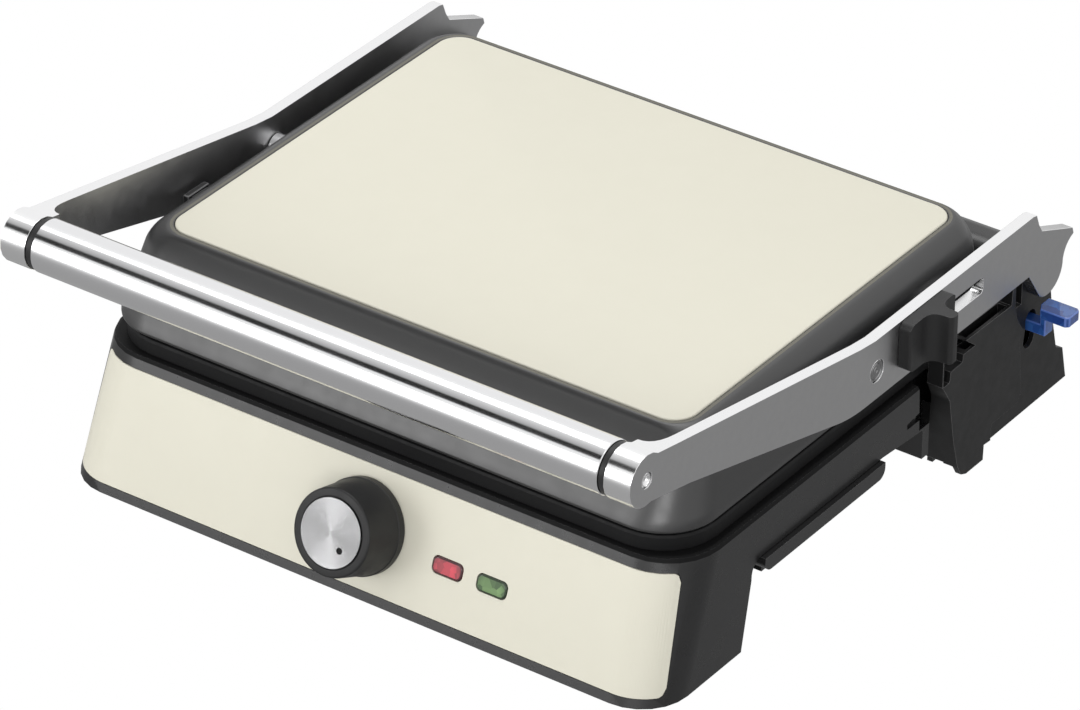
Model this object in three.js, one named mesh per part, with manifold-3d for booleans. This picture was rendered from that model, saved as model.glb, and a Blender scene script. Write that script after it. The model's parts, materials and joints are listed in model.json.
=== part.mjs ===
// A contact grill with a lid that opens flat, in millimetres, +Z up.
// While it is built, x runs from the plane of symmetry to the right, y from the middle of the lid
// insert to the back, and z from the lower edge of the base. At the end the whole grill is moved so
// that its origin lies on the table, under the middle of its bounding box.

import * as THREE from 'three';
import { mergeVertices } from 'three/addons/utils/BufferGeometryUtils.js';
import Module from 'manifold-3d';

const wasm = await Module();
wasm.setup();

// Fits
const clearance = 0.3; // between two pieces that touch
const overrun = 1; // how far a cutting body runs past a face
const pinPlay = 0.25; // between a shaft and the bore that it turns in
const roundSides = 20; // sides of a small round piece
const cornerSteps = 6; // chords in a rounded corner

// Lid insert, the painted plate in the lid. The widths and depths below build on its own.
const insertWidth = 290;
const insertDepth = 226.2;
const insertCorner = 12;
const insertThickness = 1.8;
const insertProud = 0.4;

// Upper housing
const frameWidth = 3.5; // the edge around the insert
const frameHalf = insertWidth / 2 + clearance + frameWidth;
const frameReach = insertDepth / 2 + clearance + frameWidth;
const shoulderSpread = 9.8; // from that edge out to the side's straight part
const sideLean = 6; // of the straight part
const shoulderHalf = frameHalf + shoulderSpread;
const upperHalf = shoulderHalf + sideLean;
const frontSlope = 23.7;
const rearSlope = 8.1;
const upperFront = frameReach + frontSlope;
const upperRear = frameReach + rearSlope;
const plateGap = 1.1; // between the lower bead and the upper housing's edge
const upperHeight = 43.4;
const upperCorner = 28;
const upperTuck = 3.9;
const upperTuckHeight = 2.6;
const shoulderDrop = 10; // from the top to where the side's straight part ends
const upperWall = 3;
const ceilingThickness = 2.4;
const standoffRadius = 4;
const standoffInset = 29; // from the reflector's side to a standoff's middle
const standoffY = 78;
const upperReflectorRaise = 20;
const notchY = -58; // of the small notch in the right lower edge
const notchWidth = 1.6;
const notchHeight = 5;
const notchDepth = 2;

// Grill plates
const beadSideStep = 1.6; // from the upper housing's side in to the bead
const beadFrontStep = 1.4;
const beadRearStep = 2.5;
const beadHalf = upperHalf - beadSideStep;
const beadFront = upperFront - beadFrontStep;
const beadRear = upperRear + beadRearStep;
const beadCorner = 29;
const beadRise = 8.5;
const beadWidth = 5.5;
const beadRound = 1.8;
const plateThickness = 3.5;
const ribHeight = 7.2;
const ribFoot = 5;
const ribTip = 2.6;
const ribSpacing = 20;
const ribCount = 14;
const ribEndGap = 6;
const plateFlange = 3;
const drainRadius = 5;
const drainInset = 31; // from the bead's side
const drainSetback = 50.6; // from the tray's front

// Base housing
const deckSide = 5; // from the bead out to the housing's upper edge
const deckFront = 3.3;
const deckRear = 36.5;
const sideFlare = 2; // how much wider each side is at the foot
const panelSlope = 23.6;
const rearFlare = 2;
const baseHalfHigh = beadHalf + deckSide;
const baseHalfLow = baseHalfHigh + sideFlare;
const baseFrontHigh = beadFront + deckFront;
const baseFrontLow = baseFrontHigh + panelSlope;
const baseRearHigh = beadRear + deckRear;
const baseRearLow = baseRearHigh + rearFlare;
const baseHeight = 63.5;
const baseCornerLow = 25;
const baseCornerHigh = 28;
const baseRearCorner = 9;
const baseSideWall = 3;
const baseFrontWall = 5.5;
const lipHeight = 2.5;
const lipWidth = 2.2;
const deckThickness = 2.6;
const deckWidth = 18; // from the lower plate's edge to the part of it that goes down into the base
const basinWall = 3;
const basinInset = deckWidth + basinWall; // from a plate's edge to the foot of its inner slope
const bossRadius = 4;
const bossInset = 9; // from a foot's middle in to a screw boss's middle
const bossSideInset = 42;
const bossX = baseHalfLow - bossSideInset;

// Arms and handle
const armGap = 3.7; // between the upper housing and an arm
const armThickness = 6;
const armInner = upperHalf + armGap;
const armOuter = armInner + armThickness;
const armTopDrop = 1.6; // from the top of the upper housing to the arm's level top edge
const armDepth = 32.2;
const handleReach = 182.3; // from the middle of the insert forward to its axis
const handleRise = 19.3; // from the top of the upper housing to its axis
const handleRadius = 13;
const handleWall = 1.5;
const ringWidth = 2.9;
const ringStep = 0.6;
const plugLength = 12;
const capDepth = 14;
const capInner = armOuter - capDepth;
const capBlend = 16; // plan fillet between the cap and the arm
const capFrom = 50; // degrees round the handle's axis
const capTo = 285;
const neckTopRun = 22.3; // from the handle's axis to where the arm's top edge leaves the cap
const neckLowRun = 33.3;
const neckLowDrop = 18.9;

// Hinge line and tilt pivots
const hingeSetback = 22.1; // behind the bead
const hingeY = beadRear + hingeSetback;
const hingeRise = 3.8; // above the upper housing's lower edge
const hingePinRadius = 4;
const earRadius = 13;
const tiltY = 0.7;
const tiltRise = 24.7; // above the upper housing's lower edge
const tiltScrewRadius = 3;
const tiltHeadRadius = 5.5;
const tiltHeadDepth = 1.8;
const bushRadius = 7;
const tiltBossDepth = 9;
const bendTopRun = 8; // from the tilt pivot forward to the bend in the arm's top edge
const bendLowRun = 20.7;
const armBendTop = tiltY - bendTopRun;
const armBendLow = tiltY - bendLowRun;
const armBendRound = 12;
const armRearRun = 16.6; // from the hinge line forward to the end of the level top edge
const armRear = hingeY - armRearRun;
const armCornerRound = 3;
const lobeRadius = 12.5;
const lobeFrom = -125; // degrees round the hinge line
const lobeTo = 5;
const hookReach = 21.1; // of the tail's hook, behind the hinge line
const hookRise = 26.3;

// Hinge brackets, which close the base's rear corners and carry the lid
const bracketGap = 0.4; // between a bracket's upper part and the arm
const bracketStep = 0.7; // from the arm's outer face in to the raised part's
const bracketRecess = armInner - bracketGap; // outer face where the arm's tail sweeps past
const bracketFace = armOuter - bracketStep; // outer face of the raised part, below the arm
const bracketWall = 2.5;
const bracketWidth = 12.9;
const bracketRaisedInner = bracketRecess - bracketWall;
const bracketLead = 90.1; // from the hinge line to the bracket's front
const bracketTail = 31.9;
const bracketFront = hingeY - bracketLead;
const bracketRun = bracketLead + bracketTail;
const bracketHollowShare = 0.93;
const outerPlate = 3.2; // thickness of the raised part's foot
const bracketLap = 6; // from the base's rear forward to the start of the inner wall
const chamferRun = 12; // of the slanted cut in the inner side of a bracket's front
const pocketSetback = 21.5;
const pocketLength = 35.5;
const pocketDepth = 24.5;
const pocketInset = 1.6; // from the raised part's inner face
const pocketWall = 1.8;
const pocketInner = bracketRaisedInner + pocketInset;
const pocketOuter = bracketFace - pocketWall;
const pocketFront = bracketFront + pocketSetback;
const pocketRear = pocketFront + pocketLength;

// Waist of the base, where its sides step in to make room for the brackets, and the arch
const waistGap = 11; // from the bracket's front to the step
const waistHalf = bracketRecess - bracketWidth;
const waistY = bracketFront - waistGap;
const archFootLength = 67.1; // of the front foot on the table
const archLean = 9;
const archFrontLow = baseFrontLow - archFootLength;
const archFrontHigh = archFrontLow - archLean;
const archDrop = 21; // from the housing's upper edge to the arch
const archHeight = baseHeight - archDrop;
const archRound = 9;
const archRearStep = 3; // behind the waist
const archRear = waistY + archRearStep;
const archFall = 2.6; // how much lower the arch is at its rear
const archFallRun = 33.7;
const archBlockLow = 24; // lower edge of the short block behind the arch
const archBlockDepth = 5.5;
const rearFootSetback = 24.5; // from the bracket's front to the rear foot, which is as wide as the waist
const rearFootFront = bracketFront + rearFootSetback;
const tongueThickness = 1.2; // of the strip that joins the block and the side
const slitRun = 10.3; // the slit in the side above the tongue, forward of the waist
const slitLow = 46.8;
const slitHigh = 51;
const slitRise = 1.4;
const slitDepth = 1.6;

// Front panel, a painted sheet wrapped round the front corners
const panelThickness = 2.2;
const panelFoot = 4.5;
const panelHead = 4.6; // from the housing's upper edge down to the panel
const panelRound = 4;
const panelWrapLow = 58; // degrees of the corner that it covers at its foot
const panelWrapHigh = 48.5; // degrees, at its top

// Indicator windows
const lensWidth = 16.5;
const lensHeight = 8.2;
const lensRound = 3;
const lensProud = 0.6;
const lensDepth = 6.5;
const lensFirstX = 48.3;
const lensSpacing = 24.6;
const lensRise = 28.2; // height of a window's middle
const boardMargin = 6;
const boardThickness = 1.6;
const lampRadius = 2.5;
const lampHeight = 3;

// Control knob
const knobRadius = 20.9; // in front
const knobFlare = 1.5; // how much wider it is at the collar
const knobCollarRadius = 23;
const knobCollarDepth = 5;
const knobReach = 25.8; // from the panel to its face
const knobRise = 31.8;
const knobEdge = 1.6;
const knobFaceRadius = 16.4;
const knobFaceThickness = 1.1;
const knobFaceRecess = 0.8;
const knobMarkRadius = 1.6;
const knobMarkOut = 9.1; // from the axis to the mark
const knobMarkTurn = -45; // degrees from the level
const shaftRadius = 3;
const shaftGrip = 14; // length of shaft inside the knob
const thermostatWidth = 30;
const thermostatHeight = 26;
const thermostatDepth = 18;

// Bottom cover with its two runners for the tray
const coverThickness = 2.5;
const coverLift = 2; // its lower face above the housing's lower edge
const coverGap = 4; // from the arch up to its lower face over the tray
const coverRaise = archHeight + coverGap;
const railDrop = 7;
const railThickness = 2;
const railLedge = 4;
const footRadius = 9;
const footDrop = 2.5;
const footFlare = 1;
const footSideInset = 32;
const footFrontInset = 25.1;
const footRearInset = 26;
const footX = baseHalfLow - footSideInset;
const footFrontY = baseFrontLow - footFrontInset;
const footRearY = baseRearLow - footRearInset;
const screwShaft = 1.8;
const screwHead = 3.6;
const screwHeadHeight = 1.6;
const screwLength = 14;

// Drip tray
const trayFrontGap = 7.4; // from the front foot
const trayRearGap = 35.7; // from the arch's rear
const trayFront = archFrontHigh - trayFrontGap;
const trayRear = archRear - trayRearGap;
const trayDepth = 11;
const trayWall = 1.4;
const trayLipHeight = 7.7;
const trayLipThickness = 5;
const trayLipProud = 2.8;
const trayLipRound = 5;
const trayBackInset = 5;
const trayBack = waistHalf - trayBackInset; // how far it reaches to the left of the middle

// Heating elements and reflectors
const elementRadius = 3.2;
const elementSideInset = 55; // from the bead
const elementFrontInset = 41.2;
const elementRearInset = 39.5;
const elementHalfWidth = beadHalf - elementSideInset;
const elementFront = beadFront - elementFrontInset;
const elementRear = beadRear - elementRearInset;
const elementInner = 38;
const elementNose = 14;
const elementBend = 20;
const elementTailX = 14;
const elementTail = 13;
const elementSteps = 48;
const elementSides = 6;
const reflectorThickness = 0.8;
const reflectorRim = 6;
const reflectorMargin = 22; // from a plate's edge to the reflector's edge
const reflectorHalf = beadHalf - reflectorMargin;

// Release lever
const leverSetback = 41.1; // from the hinge line forward to its pin
const leverDrop = 12; // from the base's upper edge to its pin
const leverPivotY = hingeY - leverSetback;
const leverPivotZ = baseHeight - leverDrop;
const leverHub = 5;
const leverPinRadius = 1.5;
const leverPlay = 2.8; // from the waist to the lever
const leverInner = waistHalf + leverPlay;
const leverArmThickness = 3;
const leverArmHeight = 6;
const leverNeckReach = 33.5; // from the pin to the neck's front
const leverNeckLength = 7.2;
const leverNeckFront = leverPivotY + leverNeckReach;
const leverNeckRear = leverNeckFront + leverNeckLength;
const leverRiserGap = 1; // from the arm's outer face
const leverRiserThickness = 3;
const leverRiserInner = armOuter + leverRiserGap;
const leverRiserOuter = leverRiserInner + leverRiserThickness;
const leverTabLead = 4.2;
const leverTabRaise = 8.8;
const leverTabThickness = 5.4;
const leverTabReach = 14.7;
const leverTabFront = leverNeckFront - leverTabLead;
const leverTabLow = leverPivotZ + leverTabRaise;
const leverTabHigh = leverTabLow + leverTabThickness;
const leverTip = leverRiserOuter + leverTabReach;
const leverTabRound = 1.6;
const leverTabInset = 4.5; // where the tab's narrow root ends
const leverBossRadius = 3.6;
const leverSlotFrontPlay = 0.7;
const leverSlotRearPlay = 1.5;
const slotOuterRadius = leverNeckReach + leverNeckLength + leverSlotRearPlay; // about the lever's pin
const slotInnerRadius = leverNeckReach - leverSlotFrontPlay;
const slotFrom = -14.6; // degrees, to the middle of its round end
const slotTo = 2.6;
const springWire = 0.35; // radius of the wire
const springRadius = 2.9;
const springTurns = 2;

// Cover over the hinge line, between the brackets
const hingeCoverLead = 11.6;
const hingeCoverTail = 11.4;
const hingeCoverRise = 9.3; // above the hinge line
const hingeCoverFront = hingeY - hingeCoverLead;
const hingeCoverRear = hingeY + hingeCoverTail;
const hingeCoverWall = 2;
const hingeCoverRound = 9;

// Height slider on the right arm, and the slot for its clip
const sliderSetback = 17.3; // from the tilt pivot
const sliderLength = 38.5;
const sliderThickness = 6.1;
const sliderTopDrop = 0.4; // below the arm's top edge
const sliderDepth = 25.1;
const sliderRound = 4;
const sliderEdge = 1.6;
const sliderFront = tiltY + sliderSetback;
const sliderRear = sliderFront + sliderLength;
const sliderOuter = armOuter + clearance + sliderThickness;
const ribSetback = 17.5;
const ribLength = 6.5;
const ribReach = 11;
const ribFront = sliderFront + ribSetback;
const ribRear = ribFront + ribLength;
const ribRound = 2.4;
const ribScoop = 7; // of the hollow between the block and the rib
const slotSetback = 20;
const slotLength = 52.5;
const slotDrop = 19.8; // from the arm's top edge to the slot's lower edge
const slotHeight = 8.4;
const slotRound = 2.5;
const slotFront = sliderFront + slotSetback;
const slotRear = slotFront + slotLength;
const clipSetback = 2;
const clipLength = 26;
const clipFront = slotFront + clipSetback;
const clipRear = clipFront + clipLength;
const clipFlange = 1.8;
const clipFlangeSpread = 2.6;
const clipHoleRadius = 2;
const clipHoleInset = 4.6; // from the clip's rear
const clipHoleDepth = 4;

// Plate release buttons
const buttonWidth = 16;
const buttonHeight = 6;
const buttonReach = 3.4;
const buttonStem = 5;
const buttonTravel = 2;
const buttonY = -66;
const upperButtonDrop = 12; // below the top of the upper housing
const lowerButtonDrop = 9.5; // below the base's upper edge
const lowerButtonZ = baseHeight - lowerButtonDrop;

// Cord inlet in the rear wall, and the terminal block beside it
const inletRadius = 7;
const inletFlange = 10;
const inletBore = 4;
const inletX = 60;
const inletZ = 30;
const terminalWidth = 36;
const terminalDepth = 14;
const terminalHeight = 16;
const terminalBack = 22;

// Heights that the sizes above give
const lipTop = baseHeight + lipHeight;
const beadLow = lipTop + clearance;
const beadTop = lipTop + beadRise;
const upperLow = beadTop + plateGap;
const upperTop = upperLow + upperHeight;
const handleZ = upperTop + handleRise;
const hingeZ = upperLow + hingeRise;
const hingeCoverTop = hingeZ + hingeCoverRise;
const tiltZ = upperLow + tiltRise;
const armTop = upperTop - armTopDrop;
const armLow = armTop - armDepth;
const bracketHeight = armLow - bracketStep;
const pocketFloor = bracketHeight - pocketDepth;
const sliderTop = armTop - sliderTopDrop;
const slotLow = armTop - slotDrop;
const drainX = beadHalf - drainInset;
const drainY = drainSetback - trayFront;
const standoffX = reflectorHalf - standoffInset;
const panelLean = Math.atan2(baseFrontLow - baseFrontHigh, baseHeight);
const degree = Math.PI / 180;

// Materials
function finish(color, roughness, metalness) {
  return new THREE.MeshStandardMaterial({ color, roughness, metalness });
}
const darkPlastic = finish('#3a3a3b', 0.5, 0);
const creamPaint = finish('#e9e6d4', 0.35, 0);
const castMetal = finish('#8a8a8a', 0.35, 0.9);
const chrome = finish('#d9d9dc', 0.12, 1);
const blackCoat = finish('#1d1d1e', 0.55, 0.1);
const steel = finish('#b5b6b8', 0.3, 1);
const sheetMetal = finish('#c4c6c8', 0.35, 0.9);
const rubber = finish('#202020', 0.9, 0);
const redGlass = finish('#b3202a', 0.2, 0);
const greenGlass = finish('#2f6b2c', 0.2, 0);
const blueGlass = finish('#1238a8', 0.2, 0);
const boardGreen = finish('#2c5a3a', 0.6, 0);
const whiteCeramic = finish('#d8d4c8', 0.7, 0);

// The grill, and its helpers
const grill = new THREE.Group();

function place(name, geometry, material, parent = grill) {
  const mesh = new THREE.Mesh(geometry, material);
  mesh.name = name;
  parent.add(mesh);
  return mesh;
}

// A closed mesh with its vertices merged becomes a solid that can be cut and joined.
function solid(geometry) {
  const bare = geometry.clone();
  bare.deleteAttribute('normal');
  bare.deleteAttribute('uv');
  const whole = mergeVertices(bare);
  return new wasm.Manifold(new wasm.Mesh({
    numProp: 3,
    vertProperties: new Float32Array(whole.attributes.position.array),
    triVerts: new Uint32Array(whole.index.array),
  }));
}

function geometryOf(manifold) {
  const mesh = manifold.getMesh();
  const geometry = new THREE.BufferGeometry();
  geometry.setAttribute('position', new THREE.BufferAttribute(new Float32Array(mesh.vertProperties), 3));
  geometry.setIndex([...mesh.triVerts]);
  geometry.computeVertexNormals();
  return geometry;
}

function cut(body, ...tools) {
  return geometryOf(tools.reduce((left, tool) => left.subtract(solid(tool)), solid(body)));
}

function join(body, ...more) {
  return geometryOf(more.reduce((sum, piece) => sum.add(solid(piece)), solid(body)));
}

const common = (body, tool) => geometryOf(solid(body).intersect(solid(tool)));
const merged = (geometry) => geometryOf(solid(geometry));

// A skin over rings of equal length; its two ends are capped, or joined when it is closed.
function loft(rings, closed = false) {
  const count = rings[0].length;
  const positions = rings.flat().flatMap((point) => [point.x, point.y, point.z]);
  const faces = [];
  const bands = closed ? rings.length : rings.length - 1;
  for (let band = 0; band < bands; band += 1) {
    const here = band * count;
    const there = ((band + 1) % rings.length) * count;
    for (let i = 0; i < count; i += 1) {
      const next = (i + 1) % count;
      faces.push(here + i, here + next, there + next, here + i, there + next, there + i);
    }
  }
  if (!closed) {
    const last = (rings.length - 1) * count;
    for (let i = 1; i < count - 1; i += 1) {
      faces.push(0, i + 1, i, last, last + i, last + i + 1);
    }
  }
  const geometry = new THREE.BufferGeometry();
  geometry.setAttribute('position', new THREE.Float32BufferAttribute(positions, 3));
  geometry.setIndex(faces);
  geometry.computeVertexNormals();
  return geometry;
}

// A quarter round in plan, from one bearing to another.
function corner(x, y, z, radius, from, to) {
  const points = [];
  for (let step = 0; step <= cornerSteps; step += 1) {
    const angle = (from + ((to - from) * step) / cornerSteps) * degree;
    points.push(new THREE.Vector3(x + radius * Math.cos(angle), y + radius * Math.sin(angle), z));
  }
  return points;
}

// A rounded rectangle at one height, counter-clockwise from above.
function ring(half, front, rear, z, radius) {
  return [
    ...corner(-half + radius, -front + radius, z, radius, 180, 270),
    ...corner(half - radius, -front + radius, z, radius, 270, 360),
    ...corner(half - radius, rear - radius, z, radius, 0, 90),
    ...corner(-half + radius, rear - radius, z, radius, 90, 180),
  ];
}

// The outline of a shape drawn in y and z, pushed along x.
function alongX(shape, from, to) {
  const geometry = new THREE.ExtrudeGeometry(shape, {
    depth: to - from, bevelEnabled: false, curveSegments: cornerSteps,
  });
  geometry.translate(0, 0, from);
  return geometry.applyMatrix4(new THREE.Matrix4().set(0, 0, 1, 0, 1, 0, 0, 0, 0, 1, 0, 0, 0, 0, 0, 1));
}

// The outline of a shape drawn in x and y, pushed up.
function alongZ(shape, from, to) {
  const geometry = new THREE.ExtrudeGeometry(shape, {
    depth: to - from, bevelEnabled: false, curveSegments: cornerSteps,
  });
  return geometry.translate(0, 0, from);
}

// The outline of a shape drawn in x and z, pushed back along y.
function alongY(shape, from, to) {
  const geometry = new THREE.ExtrudeGeometry(shape, {
    depth: to - from, bevelEnabled: false, curveSegments: cornerSteps,
  });
  return geometry.rotateX(Math.PI / 2).translate(0, to, 0);
}

const polygon = (points) => new THREE.Shape(points.map(([a, b]) => new THREE.Vector2(a, b)));

function block(x0, x1, y0, y1, z0, z1) {
  const geometry = new THREE.BoxGeometry(x1 - x0, y1 - y0, z1 - z0);
  return geometry.translate((x0 + x1) / 2, (y0 + y1) / 2, (z0 + z1) / 2);
}

function roundedRectangle(a0, a1, b0, b1, radius) {
  const shape = new THREE.Shape();
  shape.moveTo(a0 + radius, b0);
  shape.lineTo(a1 - radius, b0);
  shape.absarc(a1 - radius, b0 + radius, radius, -Math.PI / 2, 0);
  shape.lineTo(a1, b1 - radius);
  shape.absarc(a1 - radius, b1 - radius, radius, 0, Math.PI / 2);
  shape.lineTo(a0 + radius, b1);
  shape.absarc(a0 + radius, b1 - radius, radius, Math.PI / 2, Math.PI);
  shape.lineTo(a0, b0 + radius);
  shape.absarc(a0 + radius, b0 + radius, radius, Math.PI, 1.5 * Math.PI);
  return shape;
}

// Round bars along x and along z.
function barX(radius, x0, x1, y, z, sides = roundSides) {
  const bar = new THREE.CylinderGeometry(radius, radius, x1 - x0, sides);
  return bar.rotateZ(-Math.PI / 2).translate((x0 + x1) / 2, y, z);
}

function barZ(radius, z0, z1, x, y, sides = roundSides) {
  const bar = new THREE.CylinderGeometry(radius, radius, z1 - z0, sides);
  return bar.rotateX(Math.PI / 2).translate(x, y, (z0 + z1) / 2);
}

// A turned piece whose axis is x; its profile is a closed list of radius and place along x.
function turnedX(profile, sides = roundSides) {
  const points = profile.map(([radius, along]) => new THREE.Vector2(radius, along));
  return new THREE.LatheGeometry([...points, points[0]], sides).rotateZ(-Math.PI / 2);
}

// The same piece on the other side of the plane of symmetry, with its faces turned back outwards.
function mirrored(geometry) {
  const other = geometry.clone().applyMatrix4(new THREE.Matrix4().makeScale(-1, 1, 1));
  const flat = other.index ? other.toNonIndexed() : other;
  const array = flat.attributes.position.array;
  for (let i = 0; i < array.length; i += 9) {
    for (let k = 0; k < 3; k += 1) {
      const kept = array[i + 3 + k];
      array[i + 3 + k] = array[i + 6 + k];
      array[i + 6 + k] = kept;
    }
  }
  const plain = new THREE.BufferGeometry();
  plain.setAttribute('position', new THREE.BufferAttribute(array, 3));
  plain.computeVertexNormals();
  return plain;
}

const mix = (low, high, share) => low + (high - low) * share;

// Base housing: the outline steps in behind the waist, where the hinge brackets stand.
function baseRing(z, inset, frontInset) {
  const share = z / baseHeight;
  const half = mix(baseHalfLow, baseHalfHigh, share) - inset;
  const front = mix(baseFrontLow, baseFrontHigh, share) - frontInset;
  const rear = mix(baseRearLow, baseRearHigh, share) - inset;
  const radius = mix(baseCornerLow, baseCornerHigh, share) - inset;
  const narrow = waistHalf - inset;
  const step = waistY - inset;
  const turn = baseRearCorner - inset;
  return [
    ...corner(-half + radius, -front + radius, z, radius, 180, 270),
    ...corner(half - radius, -front + radius, z, radius, 270, 360),
    new THREE.Vector3(half, step, z),
    new THREE.Vector3(narrow, step, z),
    ...corner(narrow - turn, rear - turn, z, turn, 0, 90),
    ...corner(-narrow + turn, rear - turn, z, turn, 90, 180),
    new THREE.Vector3(-narrow, step, z),
    new THREE.Vector3(-half, step, z),
  ];
}

const lifted = (points, z) => points.map((point) => new THREE.Vector3(point.x, point.y, z));

// The same number of points as the outline, around the opening for the lower plate.
const deckJogShares = [0.8, 0.85];

function deckRing(z) {
  const half = beadHalf - deckWidth + beadWidth / 2;
  const front = beadFront - deckWidth + beadWidth / 2;
  const rear = beadRear - deckWidth + beadWidth / 2;
  const radius = beadCorner - deckWidth;
  const [jogFront, jogRear] = deckJogShares.map((share) => mix(-front, rear, share));
  return [
    ...corner(-half + radius, -front + radius, z, radius, 180, 270),
    ...corner(half - radius, -front + radius, z, radius, 270, 360),
    new THREE.Vector3(half, jogFront, z),
    new THREE.Vector3(half, jogRear, z),
    ...corner(half - radius, rear - radius, z, radius, 0, 90),
    ...corner(-half + radius, rear - radius, z, radius, 90, 180),
    new THREE.Vector3(-half, jogRear, z),
    new THREE.Vector3(-half, jogFront, z),
  ];
}

// The front panel, which follows the housing's front and corners. It can be grown to cut its own seat.
function panelBody(grow, back) {
  const columns = [];
  const low = panelFoot - grow;
  const high = baseHeight - panelHead + grow;
  const count = 3 * cornerSteps;
  const at = (side, wrapShare, z, inset) => {
    const share = z / baseHeight;
    const half = mix(baseHalfLow, baseHalfHigh, share);
    const front = mix(baseFrontLow, baseFrontHigh, share);
    const radius = mix(baseCornerLow, baseCornerHigh, share);
    const wrap = mix(panelWrapLow, panelWrapHigh, share) + grow / radius / degree;
    const angle = (-90 + wrap * wrapShare) * degree;
    const reach = radius - inset;
    return new THREE.Vector3(
      side * (half - radius + reach * Math.cos(angle)), -front + radius + reach * Math.sin(angle), z,
    );
  };
  const arc = baseCornerLow * panelWrapLow * degree;
  const column = (side, wrapShare) => {
    const left = Math.min(arc * (1 - wrapShare), panelRound);
    const trim = panelRound - Math.sqrt(panelRound ** 2 - (panelRound - left) ** 2);
    const proud = -grow;
    return [
      at(side, wrapShare, low + trim, proud),
      at(side, wrapShare, high - trim, proud),
      at(side, wrapShare, high - trim, back),
      at(side, wrapShare, low + trim, back),
    ];
  };
  for (let i = count; i >= 0; i -= 1) columns.push(column(-1, i / count));
  for (let i = 0; i <= count; i += 1) columns.push(column(1, i / count));
  return loft(columns.reverse());
}

// What stands square on the front panel is built in a group of its own: its own y runs into the
// grill, square to the panel, and its own z up the panel.
function onPanel(x, rise) {
  const group = new THREE.Group();
  group.position.set(x, -mix(baseFrontLow, baseFrontHigh, rise / baseHeight), rise);
  group.rotation.x = -panelLean;
  group.updateMatrix();
  grill.add(group);
  return group;
}

const knobSeat = onPanel(0, knobRise);
const lensSeats = [onPanel(lensFirstX, lensRise), onPanel(lensFirstX + lensSpacing, lensRise)];

const inSeat = (geometry, seat) => geometry.clone().applyMatrix4(seat.matrix);

// The arch in each side of the base: its roof falls a little at the rear.
function archShape() {
  const shape = new THREE.Shape();
  shape.moveTo(-archFrontLow, -overrun);
  shape.lineTo(-archFrontHigh, archHeight - archRound);
  shape.quadraticCurveTo(-archFrontHigh, archHeight, -archFrontHigh + archRound, archHeight);
  shape.lineTo(archRear - archFallRun, archHeight);
  shape.lineTo(archRear, archHeight - archFall);
  shape.lineTo(archRear, -overrun);
  return shape;
}

// The short block behind the arch, and the strip that joins it to the wide part of the side.
function archBlock() {
  const low = archHeight - archFall;
  const rear = archRear + archBlockDepth;
  return alongX(polygon([
    [waistY - baseSideWall, low], [archRear, low], [archRear, archBlockLow], [rear, archBlockLow],
    [rear, low + tongueThickness], [waistY - baseSideWall, low + tongueThickness],
  ]), waistHalf - overrun, mix(baseHalfLow, baseHalfHigh, low / baseHeight));
}

// A shallow slit in the outer face of the side, where its wide part ends.
function sideSlit() {
  return alongX(polygon([
    [waistY - slitRun, slitLow], [waistY + overrun, slitLow], [waistY + overrun, slitHigh],
    [waistY - slitRun, slitHigh - slitRise],
  ]), baseHalfHigh - slitDepth, baseHalfLow + overrun);
}

const screwPlaces = [
  [-bossX, -footFrontY + bossInset], [bossX, -footFrontY + bossInset], [-bossX, footRearY - bossInset],
  [bossX, footRearY - bossInset],
];

const lipRoundShares = [0.35, 0.2];

function lowerHousing() {
  const [lipIn, lipDown] = lipRoundShares;
  const lipInner = baseRing(baseHeight, lipWidth, lipWidth);
  const shell = loft([
    baseRing(0, 0, 0),
    baseRing(baseHeight, 0, 0),
    lifted(baseRing(baseHeight, lipWidth * lipIn, lipWidth * lipIn), lipTop - lipHeight * lipDown),
    lifted(lipInner, lipTop),
    deckRing(lipTop),
    deckRing(lipTop - deckThickness),
    lifted(baseRing(baseHeight, baseSideWall, baseFrontWall), lipTop - deckThickness),
    baseRing(0, baseSideWall, baseFrontWall),
  ], true);
  const bosses = screwPlaces.map(([x, y]) => barZ(
    bossRadius, coverLift + coverThickness + clearance, lipTop - deckThickness / 2, x, y, cornerSteps * 2,
  ));
  const bores = screwPlaces.map(([x, y]) => barZ(
    screwShaft + clearance, 0, screwLength + coverLift + overrun, x, y, cornerSteps * 2,
  ));
  const window = inSeat(lensBlock(clearance, baseFrontWall + lensDepth), lensSeats[0]);
  const secondWindow = inSeat(lensBlock(clearance, baseFrontWall + lensDepth), lensSeats[1]);
  const shaftHole = inSeat(shaftBar(shaftRadius + clearance, thermostatDepth), knobSeat);
  const inlet = new THREE.CylinderGeometry(
    inletRadius + clearance, inletRadius + clearance, baseRearLow, roundSides,
  ).translate(inletX, baseRearHigh, inletZ);
  const buttonHole = block(
    -baseHalfLow - overrun, -waistHalf + overrun, buttonY - buttonWidth / 2 + buttonHeight / 2 - clearance,
    buttonY + buttonWidth / 2 - buttonHeight / 2 + clearance, lowerButtonZ - buttonHeight / 4 - clearance,
    lowerButtonZ + buttonHeight / 4 + clearance,
  );
  return cut(
    join(shell, archBlock(), mirrored(archBlock()), ...bosses),
    ...bores,
    alongX(archShape(), -baseHalfLow - overrun, baseHalfLow + overrun),
    block(
      -baseHalfLow - overrun, baseHalfLow + overrun, archRear - overrun, rearFootFront, -overrun,
      archBlockLow,
    ),
    sideSlit(),
    mirrored(sideSlit()),
    panelBody(clearance, panelThickness + clearance),
    window, secondWindow, shaftHole, inlet, buttonHole,
  );
}

// A window's body in its seat: a rounded block that runs from just proud of the panel inwards.
function lensBlock(grow, depth) {
  const shape = roundedRectangle(
    -lensWidth / 2 - grow, lensWidth / 2 + grow, -lensHeight / 2 - grow, lensHeight / 2 + grow, lensRound,
  );
  return alongY(shape, -lensProud - grow, depth);
}

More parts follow.
